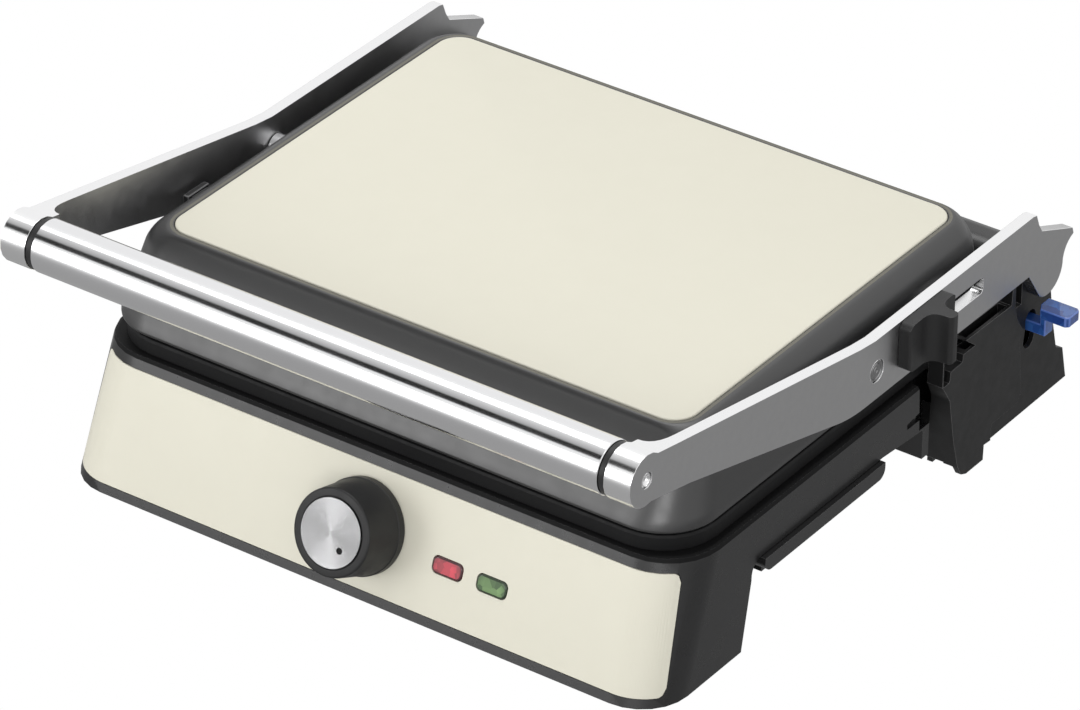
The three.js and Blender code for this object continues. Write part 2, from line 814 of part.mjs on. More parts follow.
// The control's shaft in its seat, from inside the knob to the thermostat.
function shaftBar(radius, depth) {
  const from = -knobReach + knobFaceRecess + knobEdge + shaftGrip / 4;
  const to = baseFrontWall + depth;
  return new THREE.CylinderGeometry(radius, radius, to - from, roundSides).translate(0, (from + to) / 2, 0);
}

function frontPanel() {
  const windows = lensSeats.map((seat) => inSeat(lensBlock(clearance, lensDepth), seat));
  const shaftHole = inSeat(shaftBar(shaftRadius + clearance, 0), knobSeat);
  return cut(panelBody(0, panelThickness), ...windows, shaftHole);
}

// Bottom cover: flat at the front and the back, raised over the tray and less so behind it, inside
// the housing's outline.
function bottomCover() {
  const low = coverLift;
  const high = coverRaise;
  const step = archBlockLow + coverLift;
  const t = coverThickness;
  const hat = alongX(polygon([
    [-baseFrontLow, low],
    [-archFrontLow - clearance - t, low],
    [-archFrontHigh - clearance - t, high],
    [archRear + clearance, high],
    [archRear + clearance, step],
    [rearFootFront + clearance, step],
    [rearFootFront + clearance, low],
    [baseRearLow, low],
    [baseRearLow, low + t],
    [rearFootFront + clearance + t, low + t],
    [rearFootFront + clearance + t, step + t],
    [archRear + clearance + t, step + t],
    [archRear + clearance + t, high + t],
    [-archFrontHigh - clearance - 2 * t, high + t],
    [-archFrontLow - clearance - 2 * t, low + t],
    [-baseFrontLow, low + t],
  ]), -baseHalfLow, baseHalfLow);
  const inside = loft([
    baseRing(0, baseSideWall + clearance, baseFrontWall + clearance),
    baseRing(high + 2 * t, baseSideWall + clearance, baseFrontWall + clearance),
  ]);
  const plan = alongX(polygon([
    [-baseFrontLow, 0], [baseRearLow, 0], [baseRearLow, high + 2 * t], [-baseFrontLow, high + 2 * t],
  ]), -baseHalfLow, baseHalfLow);
  const railTop = high + t / 2;
  const railLow = high - railDrop;
  const frontRail = alongX(polygon([
    [-trayFront - clearance - railThickness, railTop],
    [-trayFront - clearance - railThickness, railLow - railThickness],
    [-trayFront - clearance + railLedge, railLow - railThickness],
    [-trayFront - clearance + railLedge, railLow],
    [-trayFront - clearance, railLow],
    [-trayFront - clearance, railTop],
  ]), -trayBack, trayBack);
  const rearRail = alongX(polygon([
    [trayRear + clearance + railThickness, railTop],
    [trayRear + clearance, railTop],
    [trayRear + clearance, railLow],
    [trayRear + clearance - railLedge, railLow],
    [trayRear + clearance - railLedge, railLow - railThickness],
    [trayRear + clearance + railThickness, railLow - railThickness],
  ]), -trayBack, trayBack);
  const holes = screwPlaces.map(([x, y]) => barZ(
    screwShaft + clearance, low - overrun, low + t + overrun, x, y, cornerSteps * 2,
  ));
  const drain = barZ(drainRadius, high - overrun, high + t + overrun, drainX, drainY, cornerSteps * 2);
  const relief = inSeat(
    block(
      -thermostatWidth / 2 - clearance, thermostatWidth / 2 + clearance, 0,
      baseFrontWall + thermostatDepth + 2 * clearance, -thermostatHeight, thermostatHeight,
    ), knobSeat,
  );
  const body = join(common(common(hat, plan), inside), frontRail, rearRail);
  return cut(body, ...holes, drain, cut(relief, block(
    -thermostatWidth, thermostatWidth, -baseFrontLow, 0, -overrun, low + t + clearance,
  )));
}

place('lower_housing', lowerHousing(), darkPlastic);
place('front_panel', frontPanel(), creamPaint);
place('bottom_cover', bottomCover(), darkPlastic);

// Indicator windows with their lamps on one small board, held by the windows' inner ends.
place('red_lens', lensBlock(0, lensDepth), redGlass, lensSeats[0]);
place('green_lens', lensBlock(0, lensDepth), greenGlass, lensSeats[1]);

function indicatorBoard() {
  const gap = lensDepth + clearance + lampHeight + clearance;
  const margin = lensWidth / 2 + boardMargin;
  const board = block(
    -margin, lensSpacing + margin, gap, gap + boardThickness, -lensHeight / 2, lensHeight / 2,
  );
  const bulb = new THREE.CylinderGeometry(
    lampRadius, lampRadius, lampHeight + overrun, cornerSteps * 2,
  );
  const lamp = (x) => bulb.clone().translate(x, gap - lampHeight / 2 + overrun / 2, 0);
  return join(board, lamp(0), lamp(lensSpacing));
}

place('indicator_board', indicatorBoard(), boardGreen, lensSeats[0]);

// Control knob: turned body, metal face with its mark, shaft, and the thermostat that it turns.
const knobRoundShare = 0.3;

function knobBody() {
  const face = -knobReach;
  const bore = shaftRadius + clearance;
  const boreEnd = face + knobFaceRecess + knobEdge + shaftGrip / 4 - clearance;
  return new THREE.LatheGeometry([
    [0, face + knobFaceRecess],
    [0, boreEnd],
    [bore, boreEnd],
    [bore, -clearance],
    [knobCollarRadius, -clearance],
    [knobCollarRadius, -knobCollarDepth],
    [knobRadius + knobFlare, -knobCollarDepth - knobEdge / 2],
    [knobRadius, face + knobEdge],
    [knobRadius - knobEdge * knobRoundShare, face + knobEdge * knobRoundShare],
    [knobRadius - knobEdge, face],
    [knobFaceRadius + clearance, face],
    [knobFaceRadius + clearance, face + knobFaceRecess],
    [0, face + knobFaceRecess],
  ].reverse().map(([radius, along]) => new THREE.Vector2(radius, along)), 2 * roundSides);
}

function knobFace() {
  const back = -knobReach + knobFaceRecess - clearance;
  const front = back - knobFaceThickness;
  const disc = new THREE.CylinderGeometry(knobFaceRadius, knobFaceRadius, knobFaceThickness, 2 * roundSides)
    .translate(0, (front + back) / 2, 0);
  const angle = knobMarkTurn * degree;
  const mark = new THREE.CylinderGeometry(knobMarkRadius, knobMarkRadius, knobFaceThickness, cornerSteps * 2)
    .translate(knobMarkOut * Math.cos(angle), front, knobMarkOut * Math.sin(angle));
  return cut(disc, mark);
}

place('knob', merged(knobBody()), darkPlastic, knobSeat);
place('knob_face', knobFace(), steel, knobSeat);
place('knob_shaft', shaftBar(shaftRadius, clearance), steel, knobSeat);
place('thermostat', cut(
  block(
    -thermostatWidth / 2, thermostatWidth / 2, baseFrontWall + clearance,
    baseFrontWall + clearance + thermostatDepth, -thermostatHeight / 2, thermostatHeight / 2,
  ),
  new THREE.CylinderGeometry(shaftRadius + clearance, shaftRadius + clearance, thermostatDepth, roundSides)
    .translate(0, baseFrontWall, 0),
), whiteCeramic, knobSeat);

// Feet, screws, cord inlet and terminal block.
const sides = [['left', -1], ['right', 1]];
const ends = [['front', -footFrontY], ['rear', footRearY]];
for (const [sideName, side] of sides) {
  for (const [endName, y] of ends) {
    const foot = new THREE.CylinderGeometry(
      footRadius, footRadius - footFlare, footDrop + coverLift - clearance, roundSides,
    );
    place(
      `foot_${endName}_${sideName}`,
      foot.rotateX(Math.PI / 2).translate(side * footX, y, (coverLift - clearance - footDrop) / 2), rubber,
    );
  }
}
screwPlaces.forEach(([x, y], index) => {
  const headTop = coverLift - clearance;
  const screw = join(
    barZ(screwHead, headTop - screwHeadHeight, headTop, x, y, cornerSteps * 2),
    barZ(screwShaft, headTop - screwHeadHeight / 2, coverLift + screwLength, x, y, cornerSteps * 2),
  );
  place(`base_screw_${index + 1}`, screw, steel);
});

const rearAt = (z) => mix(baseRearLow, baseRearHigh, z / baseHeight);
const inletY = rearAt(inletZ);
const inletProfile = [
  [inletBore, inletY + inletFlange / 3],
  [inletFlange, inletY + inletFlange / 3],
  [inletFlange, inletY + inletRadius / 3],
  [inletRadius, inletY + inletRadius / 3],
  [inletRadius, inletY - inletFlange],
  [inletBore, inletY - inletFlange],
  [inletBore, inletY + inletFlange / 3],
].reverse().map(([radius, along]) => new THREE.Vector2(radius, along));
const inletBody = new THREE.LatheGeometry(inletProfile, roundSides).translate(inletX, 0, inletZ);
place('cord_inlet', merged(inletBody), rubber);
place('terminal_block', block(
  -terminalWidth / 2, terminalWidth / 2, rearAt(0) - terminalBack - terminalDepth, rearAt(0) - terminalBack,
  coverLift + coverThickness + clearance, coverLift + coverThickness + clearance + terminalHeight,
), whiteCeramic);

// Grill plates: a basin with a raised rim and long ribs.
function ribBars(base, tip, front, rear) {
  const bars = [];
  for (let i = 0; i < ribCount; i += 1) {
    const x = (i - (ribCount - 1) / 2) * ribSpacing;
    bars.push(alongY(polygon([
      [x + ribFoot / 2, base], [x + ribTip / 2, tip], [x - ribTip / 2, tip], [x - ribFoot / 2, base],
    ]), front, rear));
  }
  return bars;
}

const beadRoundShare = 0.3;

function lowerPlate() {
  const floor = beadTop - ribHeight - clearance;
  const sized = (inset, z) => ring(
    beadHalf - inset, beadFront - inset, beadRear - inset, z, Math.max(beadCorner - inset, beadRound),
  );
  const body = loft([
    sized(deckWidth, floor - plateThickness),
    sized(deckWidth, lipTop - clearance),
    sized(deckWidth, beadLow),
    sized(0, beadLow),
    sized(0, beadTop - beadRound),
    sized(beadRound * beadRoundShare, beadTop - beadRound * beadRoundShare),
    sized(beadRound, beadTop),
    sized(beadWidth - beadRound, beadTop),
    sized(beadWidth, beadTop - beadRound),
    sized(basinInset, floor),
  ]);
  const ends = [-(beadFront - basinInset - ribEndGap), beadRear - basinInset - ribEndGap];
  const ribs = ribBars(floor - plateThickness / 2, beadTop - clearance, ...ends);
  const drain = barZ(
    drainRadius, floor - plateThickness - overrun, beadTop + overrun, drainX, drainY, cornerSteps * 2,
  );
  return cut(join(body, ...ribs), drain);
}

place('lower_plate', lowerPlate(), blackCoat);

// A bent heating tube: it runs out from the rear, round the plate, and back in two inner legs.
function elementPath(z) {
  const corners = [
    [-elementTailX, elementRear + elementTail], [-elementTailX, elementRear],
    [-elementHalfWidth, elementRear], [-elementHalfWidth, -elementFront],
    [-elementInner, -elementFront], [-elementInner, elementNose],
    [elementInner, elementNose], [elementInner, -elementFront],
    [elementHalfWidth, -elementFront], [elementHalfWidth, elementRear],
    [elementTailX, elementRear], [elementTailX, elementRear + elementTail],
  ].map(([x, y]) => new THREE.Vector3(x, y, z));
  const path = new THREE.CurvePath();
  let from = corners[0];
  for (let i = 1; i < corners.length - 1; i += 1) {
    const before = corners[i - 1];
    const after = corners[i + 1];
    const room = Math.min(before.distanceTo(corners[i]), after.distanceTo(corners[i]));
    const bend = Math.min(elementBend, room / 2);
    const start = corners[i].clone().add(before.clone().sub(corners[i]).setLength(bend));
    const end = corners[i].clone().add(after.clone().sub(corners[i]).setLength(bend));
    path.add(new THREE.LineCurve3(from, start));
    path.add(new THREE.QuadraticBezierCurve3(start, corners[i], end));
    from = end;
  }
  path.add(new THREE.LineCurve3(from, corners[corners.length - 1]));
  return path;
}

function heatingElement(z) {
  const section = new THREE.Shape();
  section.absarc(0, 0, elementRadius, 0, 2 * Math.PI);
  return new THREE.ExtrudeGeometry(section, {
    steps: elementSteps, curveSegments: elementSides / 2, extrudePath: elementPath(z), bevelEnabled: false,
  });
}

// A reflector: a shallow sheet tray that opens towards its plate.
function reflector(outer, front, rear, z, rimZ) {
  const up = Math.sign(rimZ - z);
  const t = reflectorThickness;
  const radius = beadCorner - reflectorMargin;
  const rings = [
    ring(outer, front, rear, z, radius),
    ring(outer, front, rear, rimZ, radius),
    ring(outer - t, front - t, rear - t, rimZ, radius - t),
    ring(outer - t, front - t, rear - t, z + up * t, radius - t),
  ];
  return loft(up > 0 ? rings : rings.reverse());
}

const lowerElementZ = beadTop - ribHeight - clearance - plateThickness - clearance - elementRadius;
place('lower_element', heatingElement(lowerElementZ), steel);
const lowerReflectorZ = coverRaise + coverThickness + clearance;
place('lower_reflector', cut(
  reflector(
    reflectorHalf, archFrontHigh, archRear, lowerReflectorZ, lowerReflectorZ + reflectorRim / 2,
  ),
  barZ(
    drainRadius, lowerReflectorZ - overrun, lowerReflectorZ + reflectorRim, drainX, drainY,
    cornerSteps * 2,
  ),
), sheetMetal);

// Drip tray: a long pan with a finger lip on the right side of the base.
function dripTray() {
  const top = archHeight - clearance;
  const rightFace = mix(baseHalfLow, baseHalfHigh, archHeight / baseHeight);
  const panFront = trayFront - railLedge - clearance;
  const panRear = trayRear - railLedge - clearance;
  const panRight = rightFace - trayLipThickness + trayLipProud;
  const floor = top - trayDepth;
  const pan = block(-trayBack, panRight, -panFront, panRear, floor, top);
  const hollow = block(
    -trayBack + trayWall, panRight - trayWall, -panFront + trayWall, panRear - trayWall,
    floor + trayWall, top + overrun,
  );
  const flange = block(
    -trayBack, panRight, -trayFront + clearance, trayRear - clearance, top - trayWall, top,
  );
  const lip = alongX(
    roundedRectangle(-trayFront, trayRear, top - trayLipHeight, top + trayLipRound, trayLipRound),
    panRight - trayWall, rightFace + trayLipProud,
  );
  return cut(join(pan, flange, lip), hollow, block(
    panRight - trayWall - overrun, baseHalfLow + trayLipThickness, -archFrontLow, archRear,
    top, top + 2 * trayLipRound,
  ));
}

place('drip_tray', dripTray(), darkPlastic);

// Hinge brackets: a hollow box in each rear corner of the base, with the ear for the hinge pin on
// top and a raised part in front, below the arm. Outlines are shares of a bracket's run and height.
const bracketSpot = ([a, b]) => [bracketFront + a * bracketRun, b * bracketHeight];
const bracketFrontShares = [
  [0, 0.717], [0.0328, 0.647], [0.0582, 0.587], [0.0959, 0.3065], [0.1352, 0.0994],
];
const bracketFloorShare = 0.0852; // the box's lower face, in front
const raisedFootShares = [[0.165, 0.028], [0.2008, 0.0071], [0.3221, 0.0071]];
const bracketRearShares = [
  [0.3402, 0.026], [1, 0.0331], [0.9656, 0.2497], [0.9148, 0.2888], [0.8754, 0.5124], [0.8451, 0.7811],
];
const raisedRearShares = [
  [0.3246, 0.103], [0.3713, 0.097], [0.373, 0.2036], [0.5475, 0.2024], [0.57, 0.218], [0.5844, 0.258],
  [0.5557, 0.6189], [0.5697, 0.6828], [0.527, 0.781], [0.5107, 0.8757], [0.509, 1], [0.486, 1],
  [0.482, 0.8994],
];
const raisedStairShares = [
  [0.1574, 0.9077], [0.227, 0.8284], [0.1426, 0.8296], [0.1377, 0.7846], [0.0549, 0.7799],
  [0.0533, 0.735], [0.045, 0.7145], [0.0075, 0.7145], [0.0075, 1], [0, 1],
];
const raisedPlainShares = [[0, 0.9077]];
const hollowCentreShare = [0.47, 0.39];
const boxFloorShares = [
  [0.1475, bracketFloorShare], [0.3221, bracketFloorShare],
];
// The slanted cut in the front: shares of a bracket's width and height.
const chamferShares = [[-0.1, 0.9], [0.79, 0.9], [0.79, 0.734], [0.426, 0.355], [0.109, 0.1], [-0.1, 0.02]];

function bracketBox() {
  const shape = new THREE.Shape();
  const outline = [...bracketFrontShares, ...boxFloorShares, ...bracketRearShares];
  const [first, ...rest] = outline.map(bracketSpot);
  shape.moveTo(...first);
  for (const point of rest) shape.lineTo(...point);
  shape.lineTo(hingeY + earRadius, hingeZ);
  shape.absarc(hingeY, hingeZ, earRadius, 0, Math.PI);
  shape.lineTo(hingeY - earRadius, lipTop - clearance);
  shape.lineTo(bracketFront, lipTop - clearance);
  return alongX(shape, waistHalf + clearance, bracketRecess);
}

function bracketHollow() {
  const towards = ([a, b]) => bracketSpot([
    mix(hollowCentreShare[0], a, bracketHollowShare), mix(hollowCentreShare[1], b, bracketHollowShare),
  ]);
  const outline = [...bracketFrontShares, ...boxFloorShares, ...bracketRearShares].map(towards);
  return alongX(polygon(outline), waistHalf, bracketRaisedInner);
}

// The lever's slot: an arc about its pin, with round ends.
function leverSlot() {
  const shape = new THREE.Shape();
  const radius = (slotOuterRadius + slotInnerRadius) / 2;
  const half = (slotOuterRadius - slotInnerRadius) / 2;
  const from = slotFrom * degree;
  const to = slotTo * degree;
  const at = (angle) => [
    leverPivotY + radius * Math.cos(angle), leverPivotZ + radius * Math.sin(angle),
  ];
  shape.absarc(leverPivotY, leverPivotZ, slotOuterRadius, from, to);
  shape.absarc(...at(to), half, to, to + Math.PI);
  shape.absarc(leverPivotY, leverPivotZ, slotInnerRadius, to, from, true);
  shape.absarc(...at(from), half, from + Math.PI, from + 2 * Math.PI);
  return alongX(shape, bracketRaisedInner - overrun, bracketRecess + overrun);
}

function hingeBracket(right) {
  const outline = [
    ...bracketFrontShares, ...raisedFootShares, ...raisedRearShares,
    ...(right ? raisedStairShares : raisedPlainShares),
  ];
  const raised = cut(
    alongX(polygon(outline.map(bracketSpot)), bracketRaisedInner, bracketFace),
    block(
      bracketRaisedInner - overrun, bracketFace - outerPlate, bracketFront, hingeY, -overrun,
      bracketFloorShare * bracketHeight,
    ),
  );
  const boss = barX(
    leverBossRadius, bracketRaisedInner - overrun, bracketRaisedInner + overrun / 2, leverPivotY,
    leverPivotZ, cornerSteps * 2,
  );
  const innerWall = common(bracketBox(), block(
    waistHalf, waistHalf + clearance + bracketWall, baseRearLow - bracketLap,
    bracketFront + bracketRun + overrun, -overrun, bracketHeight,
  ));
  const chamfer = alongY(polygon(chamferShares.map(([a, b]) => [
    mix(waistHalf, bracketRecess, a), b * bracketHeight,
  ])), bracketFront - overrun, bracketFront + chamferRun);
  const tools = [
    block(pocketInner, pocketOuter, pocketFront, pocketRear, pocketFloor, bracketHeight + overrun),
    barX(hingePinRadius + pinPlay, waistHalf, bracketRecess + overrun, hingeY, hingeZ),
    chamfer,
  ];
  if (right) {
    tools.push(leverSlot(), barX(
      leverPinRadius + clearance / 2, waistHalf, bracketRecess - overrun, leverPivotY, leverPivotZ,
      cornerSteps * 2,
    ));
  }
  const box = join(cut(bracketBox(), bracketHollow()), innerWall);
  return cut(right ? join(box, raised, boss) : join(box, raised), ...tools);
}

place('hinge_bracket_right', hingeBracket(true), darkPlastic);
place('hinge_bracket_left', mirrored(hingeBracket(false)), darkPlastic);

// Cover over the hinge line, an upturned channel that stands on the deck.
function hingeCover() {
  const low = lipTop + clearance;
  const half = waistHalf - lipWidth - clearance;
  const wall = (inset) => {
    const shape = new THREE.Shape();
    const front = hingeCoverFront + inset;
    const rear = hingeCoverRear - inset;
    const top = hingeCoverTop - inset;
    const radius = hingeCoverRound - inset;
    shape.moveTo(front, low - (inset ? overrun : 0));
    shape.lineTo(rear, low - (inset ? overrun : 0));
    shape.lineTo(rear, top - radius);
    shape.absarc(rear - radius, top - radius, radius, 0, Math.PI / 2);
    shape.lineTo(front + radius, top);
    shape.absarc(front + radius, top - radius, radius, Math.PI / 2, Math.PI);
    return shape;
  };
  return cut(
    alongX(wall(0), -half, half),
    alongX(wall(hingeCoverWall), -half + hingeCoverWall, half - hingeCoverWall),
  );
}

place('hinge_cover', hingeCover(), darkPlastic);

// Release lever: an arm inside the bracket, a neck out through the slot, a riser and a finger tab.
function releaseLever() {
  const outer = leverInner + leverArmThickness;
  const hub = barX(leverHub, leverInner, outer, leverPivotY, leverPivotZ);
  const arm = block(
    leverInner, outer, leverPivotY, leverNeckRear, leverPivotZ - leverArmHeight / 2,
    leverPivotZ + leverArmHeight / 2,
  );
  const neck = block(
    leverInner, leverRiserOuter, leverNeckFront, leverNeckRear, leverPivotZ - leverArmHeight / 2,
    leverPivotZ + leverArmHeight / 2,
  );
  const riser = block(
    leverRiserInner, leverRiserOuter, leverNeckFront, leverNeckRear, leverPivotZ - leverArmHeight / 2,
    leverTabHigh - leverTabRound,
  );
  const tab = alongZ(polygon([
    [leverRiserInner, leverNeckFront],
    [leverRiserInner + leverTabInset / 2, leverTabFront],
    [leverTip - leverTabRound, leverTabFront],
    [leverTip, leverTabFront + leverTabRound],
    [leverTip, leverNeckRear - leverTabRound],
    [leverTip - leverTabRound, leverNeckRear],
    [leverRiserInner, leverNeckRear],
  ]), leverTabLow, leverTabHigh);
  const bore = barX(
    leverPinRadius + pinPlay, leverInner - overrun, outer + overrun, leverPivotY, leverPivotZ,
  );
  return cut(join(hub, arm, neck, riser, tab), bore);
}

place('release_lever', releaseLever(), blueGlass);
place('lever_pin', barX(
  leverPinRadius, waistHalf + 2 * clearance, bracketRecess - overrun - clearance, leverPivotY, leverPivotZ,
  cornerSteps * 2,
), steel);

// The lever's return spring, wound round its pin beside the hub.
function leverSpring() {
  const from = leverInner + leverArmThickness + clearance + springWire;
  const to = bracketRaisedInner - overrun - clearance - springWire;
  const points = [];
  const count = springTurns * 2 * cornerSteps;
  for (let i = 0; i <= count; i += 1) {
    const angle = (i / count) * springTurns * 2 * Math.PI;
    points.push(new THREE.Vector3(
      mix(from, to, i / count), leverPivotY + springRadius * Math.cos(angle),
      leverPivotZ + springRadius * Math.sin(angle),
    ));
  }
  const section = new THREE.Shape();
  section.absarc(0, 0, springWire, 0, 2 * Math.PI);
  return new THREE.ExtrudeGeometry(section, {
    steps: count, curveSegments: cornerSteps / 2, bevelEnabled: false,
    extrudePath: new THREE.CatmullRomCurve3(points),
  });
}

place('lever_spring', leverSpring(), steel);

// Arms: flat castings from the handle to the hinge, each with a round cap that closes the handle.
const hookRootShare = [0.66, 0.33]; // of the hook's reach and rise
const hookTipShare = [1, 0.42];
const hookBackShare = [0.95, 0.55];
const rearShares = [[0.26, 0.364], [0.17, 0.22]]; // of the arm's depth, back and down from its rear end
const lobeNeckShare = 1.43;
const neckRiseShare = 0.56;

function armShape(slotted) {
  const shape = new THREE.Shape();
  const frontLow = [-handleReach + neckLowRun, handleZ - neckLowDrop];
  const bendShare = armBendRound / (armBendLow - frontLow[0]);
  const onCap = (angle) => [
    -handleReach + handleRadius * Math.cos(angle), handleZ + handleRadius * Math.sin(angle),
  ];
  const hook = ([y, z]) => [hingeY + y * hookReach, hingeZ + z * hookRise];
  shape.moveTo(...onCap(capTo * degree));
  shape.lineTo(...frontLow);
  shape.lineTo(mix(armBendLow, frontLow[0], bendShare), mix(armLow, frontLow[1], bendShare));
  shape.quadraticCurveTo(armBendLow, armLow, armBendLow + armBendRound, armLow);
  shape.lineTo(hingeY - lobeRadius * lobeNeckShare, armLow);
  shape.absarc(hingeY, hingeZ, lobeRadius, lobeFrom * degree, lobeTo * degree);
  shape.quadraticCurveTo(...hook(hookRootShare), ...hook(hookTipShare));
  shape.lineTo(...hook(hookBackShare));
  for (const [back, down] of rearShares) shape.lineTo(armRear + armDepth * back, armTop - armDepth * down);
  shape.lineTo(armRear + armCornerRound, armTop - armCornerRound / 4);
  shape.lineTo(armRear, armTop);
  shape.lineTo(armBendTop + armBendRound / 2, armTop);
  shape.lineTo(armBendTop - armBendRound / 2, armTop + armBendRound / 8);
  shape.lineTo(-handleReach + neckTopRun, handleZ + handleRadius * neckRiseShare);
  shape.lineTo(...onCap(capFrom * degree));
  shape.absarc(-handleReach, handleZ, handleRadius, capFrom * degree, capTo * degree);
  if (slotted) {
    shape.holes.push(roundedRectangle(slotFront, slotRear, slotLow, slotLow + slotHeight, slotRound));
  }
  return shape;
}

// Plan of an arm: the thin plate, and the cap that grows out of it in a curve.
function armPlan() {
  const capBack = -handleReach + handleRadius;
  const shape = new THREE.Shape();
  shape.moveTo(armOuter, -handleReach - handleRadius - overrun);
  shape.lineTo(armOuter, hingeY + hookReach + overrun);
  shape.lineTo(armInner, hingeY + hookReach + overrun);
  shape.lineTo(armInner, capBack + capBlend);
  shape.quadraticCurveTo(armInner, capBack, capInner, capBack);
  shape.lineTo(capInner, -handleReach - handleRadius - overrun);
  return shape;
}

function arm(slotted) {
  const handleAxis = [-handleReach, handleZ];
  const tiltAxis = [tiltY, tiltZ];
  const body = common(
    alongX(armShape(slotted), capInner, armOuter),
    alongZ(armPlan(), hingeZ - 2 * lobeRadius, handleZ + 2 * handleRadius),
  );
  return cut(
    body,
    barX(screwShaft + clearance, capInner - overrun, armOuter + overrun, ...handleAxis),
    barX(screwHead + clearance, armOuter - screwHeadHeight - clearance, armOuter + overrun, ...handleAxis),
    barX(tiltScrewRadius + clearance, armInner - overrun, armOuter + overrun, ...tiltAxis),
    barX(tiltHeadRadius + clearance, armOuter - tiltHeadDepth - clearance, armOuter + overrun, ...tiltAxis),
  );
}

place('arm_right', arm(true), castMetal);
place('arm_left', mirrored(arm(false)), castMetal);

// Handle tube, with a plug at each end whose rim shows as a dark ring.
const tubeHalf = capInner - clearance - ringWidth - clearance;
place('handle_tube', merged(turnedX([
  [handleRadius - handleWall, -tubeHalf], [handleRadius, -tubeHalf], [handleRadius, tubeHalf],
  [handleRadius - handleWall, tubeHalf],
], 2 * roundSides).translate(0, -handleReach, handleZ)), chrome);

function handlePlug() {
  const inner = handleRadius - handleWall - clearance;
  const bore = screwShaft + clearance;
  const from = tubeHalf + clearance;
  return turnedX([
    [bore, from - plugLength], [inner, from - plugLength], [inner, from], [handleRadius - ringStep, from],
    [handleRadius - ringStep, from + ringWidth], [bore, from + ringWidth],
  ]).translate(0, -handleReach, handleZ);
}

function handleScrew() {
  const head = armOuter - clearance;
  return join(
    barX(screwHead, head - screwHeadHeight, head, -handleReach, handleZ),
    barX(
      screwShaft, tubeHalf - plugLength / 2, head - screwHeadHeight / 2, -handleReach, handleZ,
      cornerSteps * 2,
    ),
  );
}

function tiltScrew() {
  const head = armOuter - clearance;
  const end = upperSide(tiltZ) - upperWall - tiltBossDepth + 2 * clearance;
  return join(
    barX(tiltHeadRadius, head - tiltHeadDepth, head, tiltY, tiltZ),
    barX(tiltScrewRadius, end, head - tiltHeadDepth / 2, tiltY, tiltZ),
  );
}

// Upper housing: half width of its side at a height, and the rings of its skin.
const shoulderZ = upperTop - shoulderDrop;
const widestZ = upperLow + upperTuckHeight;
const shoulderShares = [[0, 0], [0.32, 0.16], [0.62, 0.38], [0.85, 0.68], [1, 1]];

function upperSide(z) {
  if (z <= shoulderZ) return mix(upperHalf, shoulderHalf, (z - widestZ) / (shoulderZ - widestZ));
  const share = (z - shoulderZ) / shoulderDrop;
  const index = Math.min(shoulderShares.findIndex(([rise]) => rise >= share), shoulderShares.length - 1);
  const [rise0, in0] = shoulderShares[index - 1];
  const [rise1, in1] = shoulderShares[index];
  return mix(shoulderHalf, frameHalf, mix(in0, in1, (share - rise0) / (rise1 - rise0)));
}

function upperRing(z, inset) {
  const share = (z - widestZ) / (upperTop - widestZ);
  const half = upperSide(z) - inset;
  const front = mix(upperFront, frameReach, share) - inset;
  const rear = mix(upperRear, frameReach, share) - inset;
  const radius = mix(upperCorner, insertCorner + frameWidth, share) - inset;
  return ring(half, front, rear, z, Math.max(radius, upperWall));
}

function upperHousing() {
  const floor = upperTop + insertProud - insertThickness - clearance;
  const edge = (inset, z) => ring(
    upperHalf - inset, upperFront - inset, upperRear - inset, z, upperCorner - inset,
  );
  const outer = [
    edge(upperTuck, upperLow),
    edge(0, widestZ),
    ...shoulderShares.map(([rise]) => upperRing(shoulderZ + rise * shoulderDrop, 0)),
    ring(frameHalf - frameWidth, frameReach - frameWidth, frameReach - frameWidth, upperTop, insertCorner),
    ring(frameHalf - frameWidth, frameReach - frameWidth, frameReach - frameWidth, floor, insertCorner),
  ];
  const ceiling = floor - ceilingThickness;
  const inner = [
    upperRing(ceiling, upperWall + frameWidth),
    upperRing(shoulderZ, upperWall),
    edge(upperWall, widestZ),
    edge(upperTuck + upperWall / 2, upperLow),
  ];
  const shell = loft([...inner, ...outer]);
  const posts = [];
  for (const [, side] of sides) {
    for (const end of [-1, 1]) {
      posts.push(barZ(
        standoffRadius, upperReflectorZ + clearance, ceiling + ceilingThickness / 2, side * standoffX,
        end * standoffY, cornerSteps * 2,
      ));
    }
  }
  const side = upperSide(tiltZ);
  const boss = barX(bushRadius, side - upperWall - tiltBossDepth, side - upperWall / 2, tiltY, tiltZ);
  const bore = barX(
    tiltScrewRadius + clearance, side - upperWall - tiltBossDepth - overrun, side + overrun, tiltY, tiltZ,
  );
  const z = upperTop - upperButtonDrop;
  const hole = block(
    -upperHalf, -upperSide(z) + upperWall + overrun,
    buttonY - buttonWidth / 2 + buttonHeight / 2 - clearance,
    buttonY + buttonWidth / 2 - buttonHeight / 2 + clearance, z - buttonHeight / 4 - clearance,
    z + buttonHeight / 4 + clearance,
  );
  const notch = block(
    upperHalf - notchDepth, upperHalf + overrun, notchY, notchY + notchWidth, upperLow - overrun,
    upperLow + notchHeight,
  );
  return cut(join(shell, ...posts, boss, mirrored(boss)), bore, mirrored(bore), hole, notch);
}

const upperFloor = upperLow + clearance + ribHeight;
const upperElementZ = upperFloor + plateThickness + clearance + elementRadius;
const upperReflectorZ = upperLow + upperReflectorRaise + reflectorThickness;

place('upper_housing', upperHousing(), darkPlastic);
place('lid_insert', loft([
  ring(
    insertWidth / 2, insertDepth / 2, insertDepth / 2, upperTop + insertProud - insertThickness,
    insertCorner,
  ),
  ring(insertWidth / 2, insertDepth / 2, insertDepth / 2, upperTop + insertProud, insertCorner),
]), creamPaint);

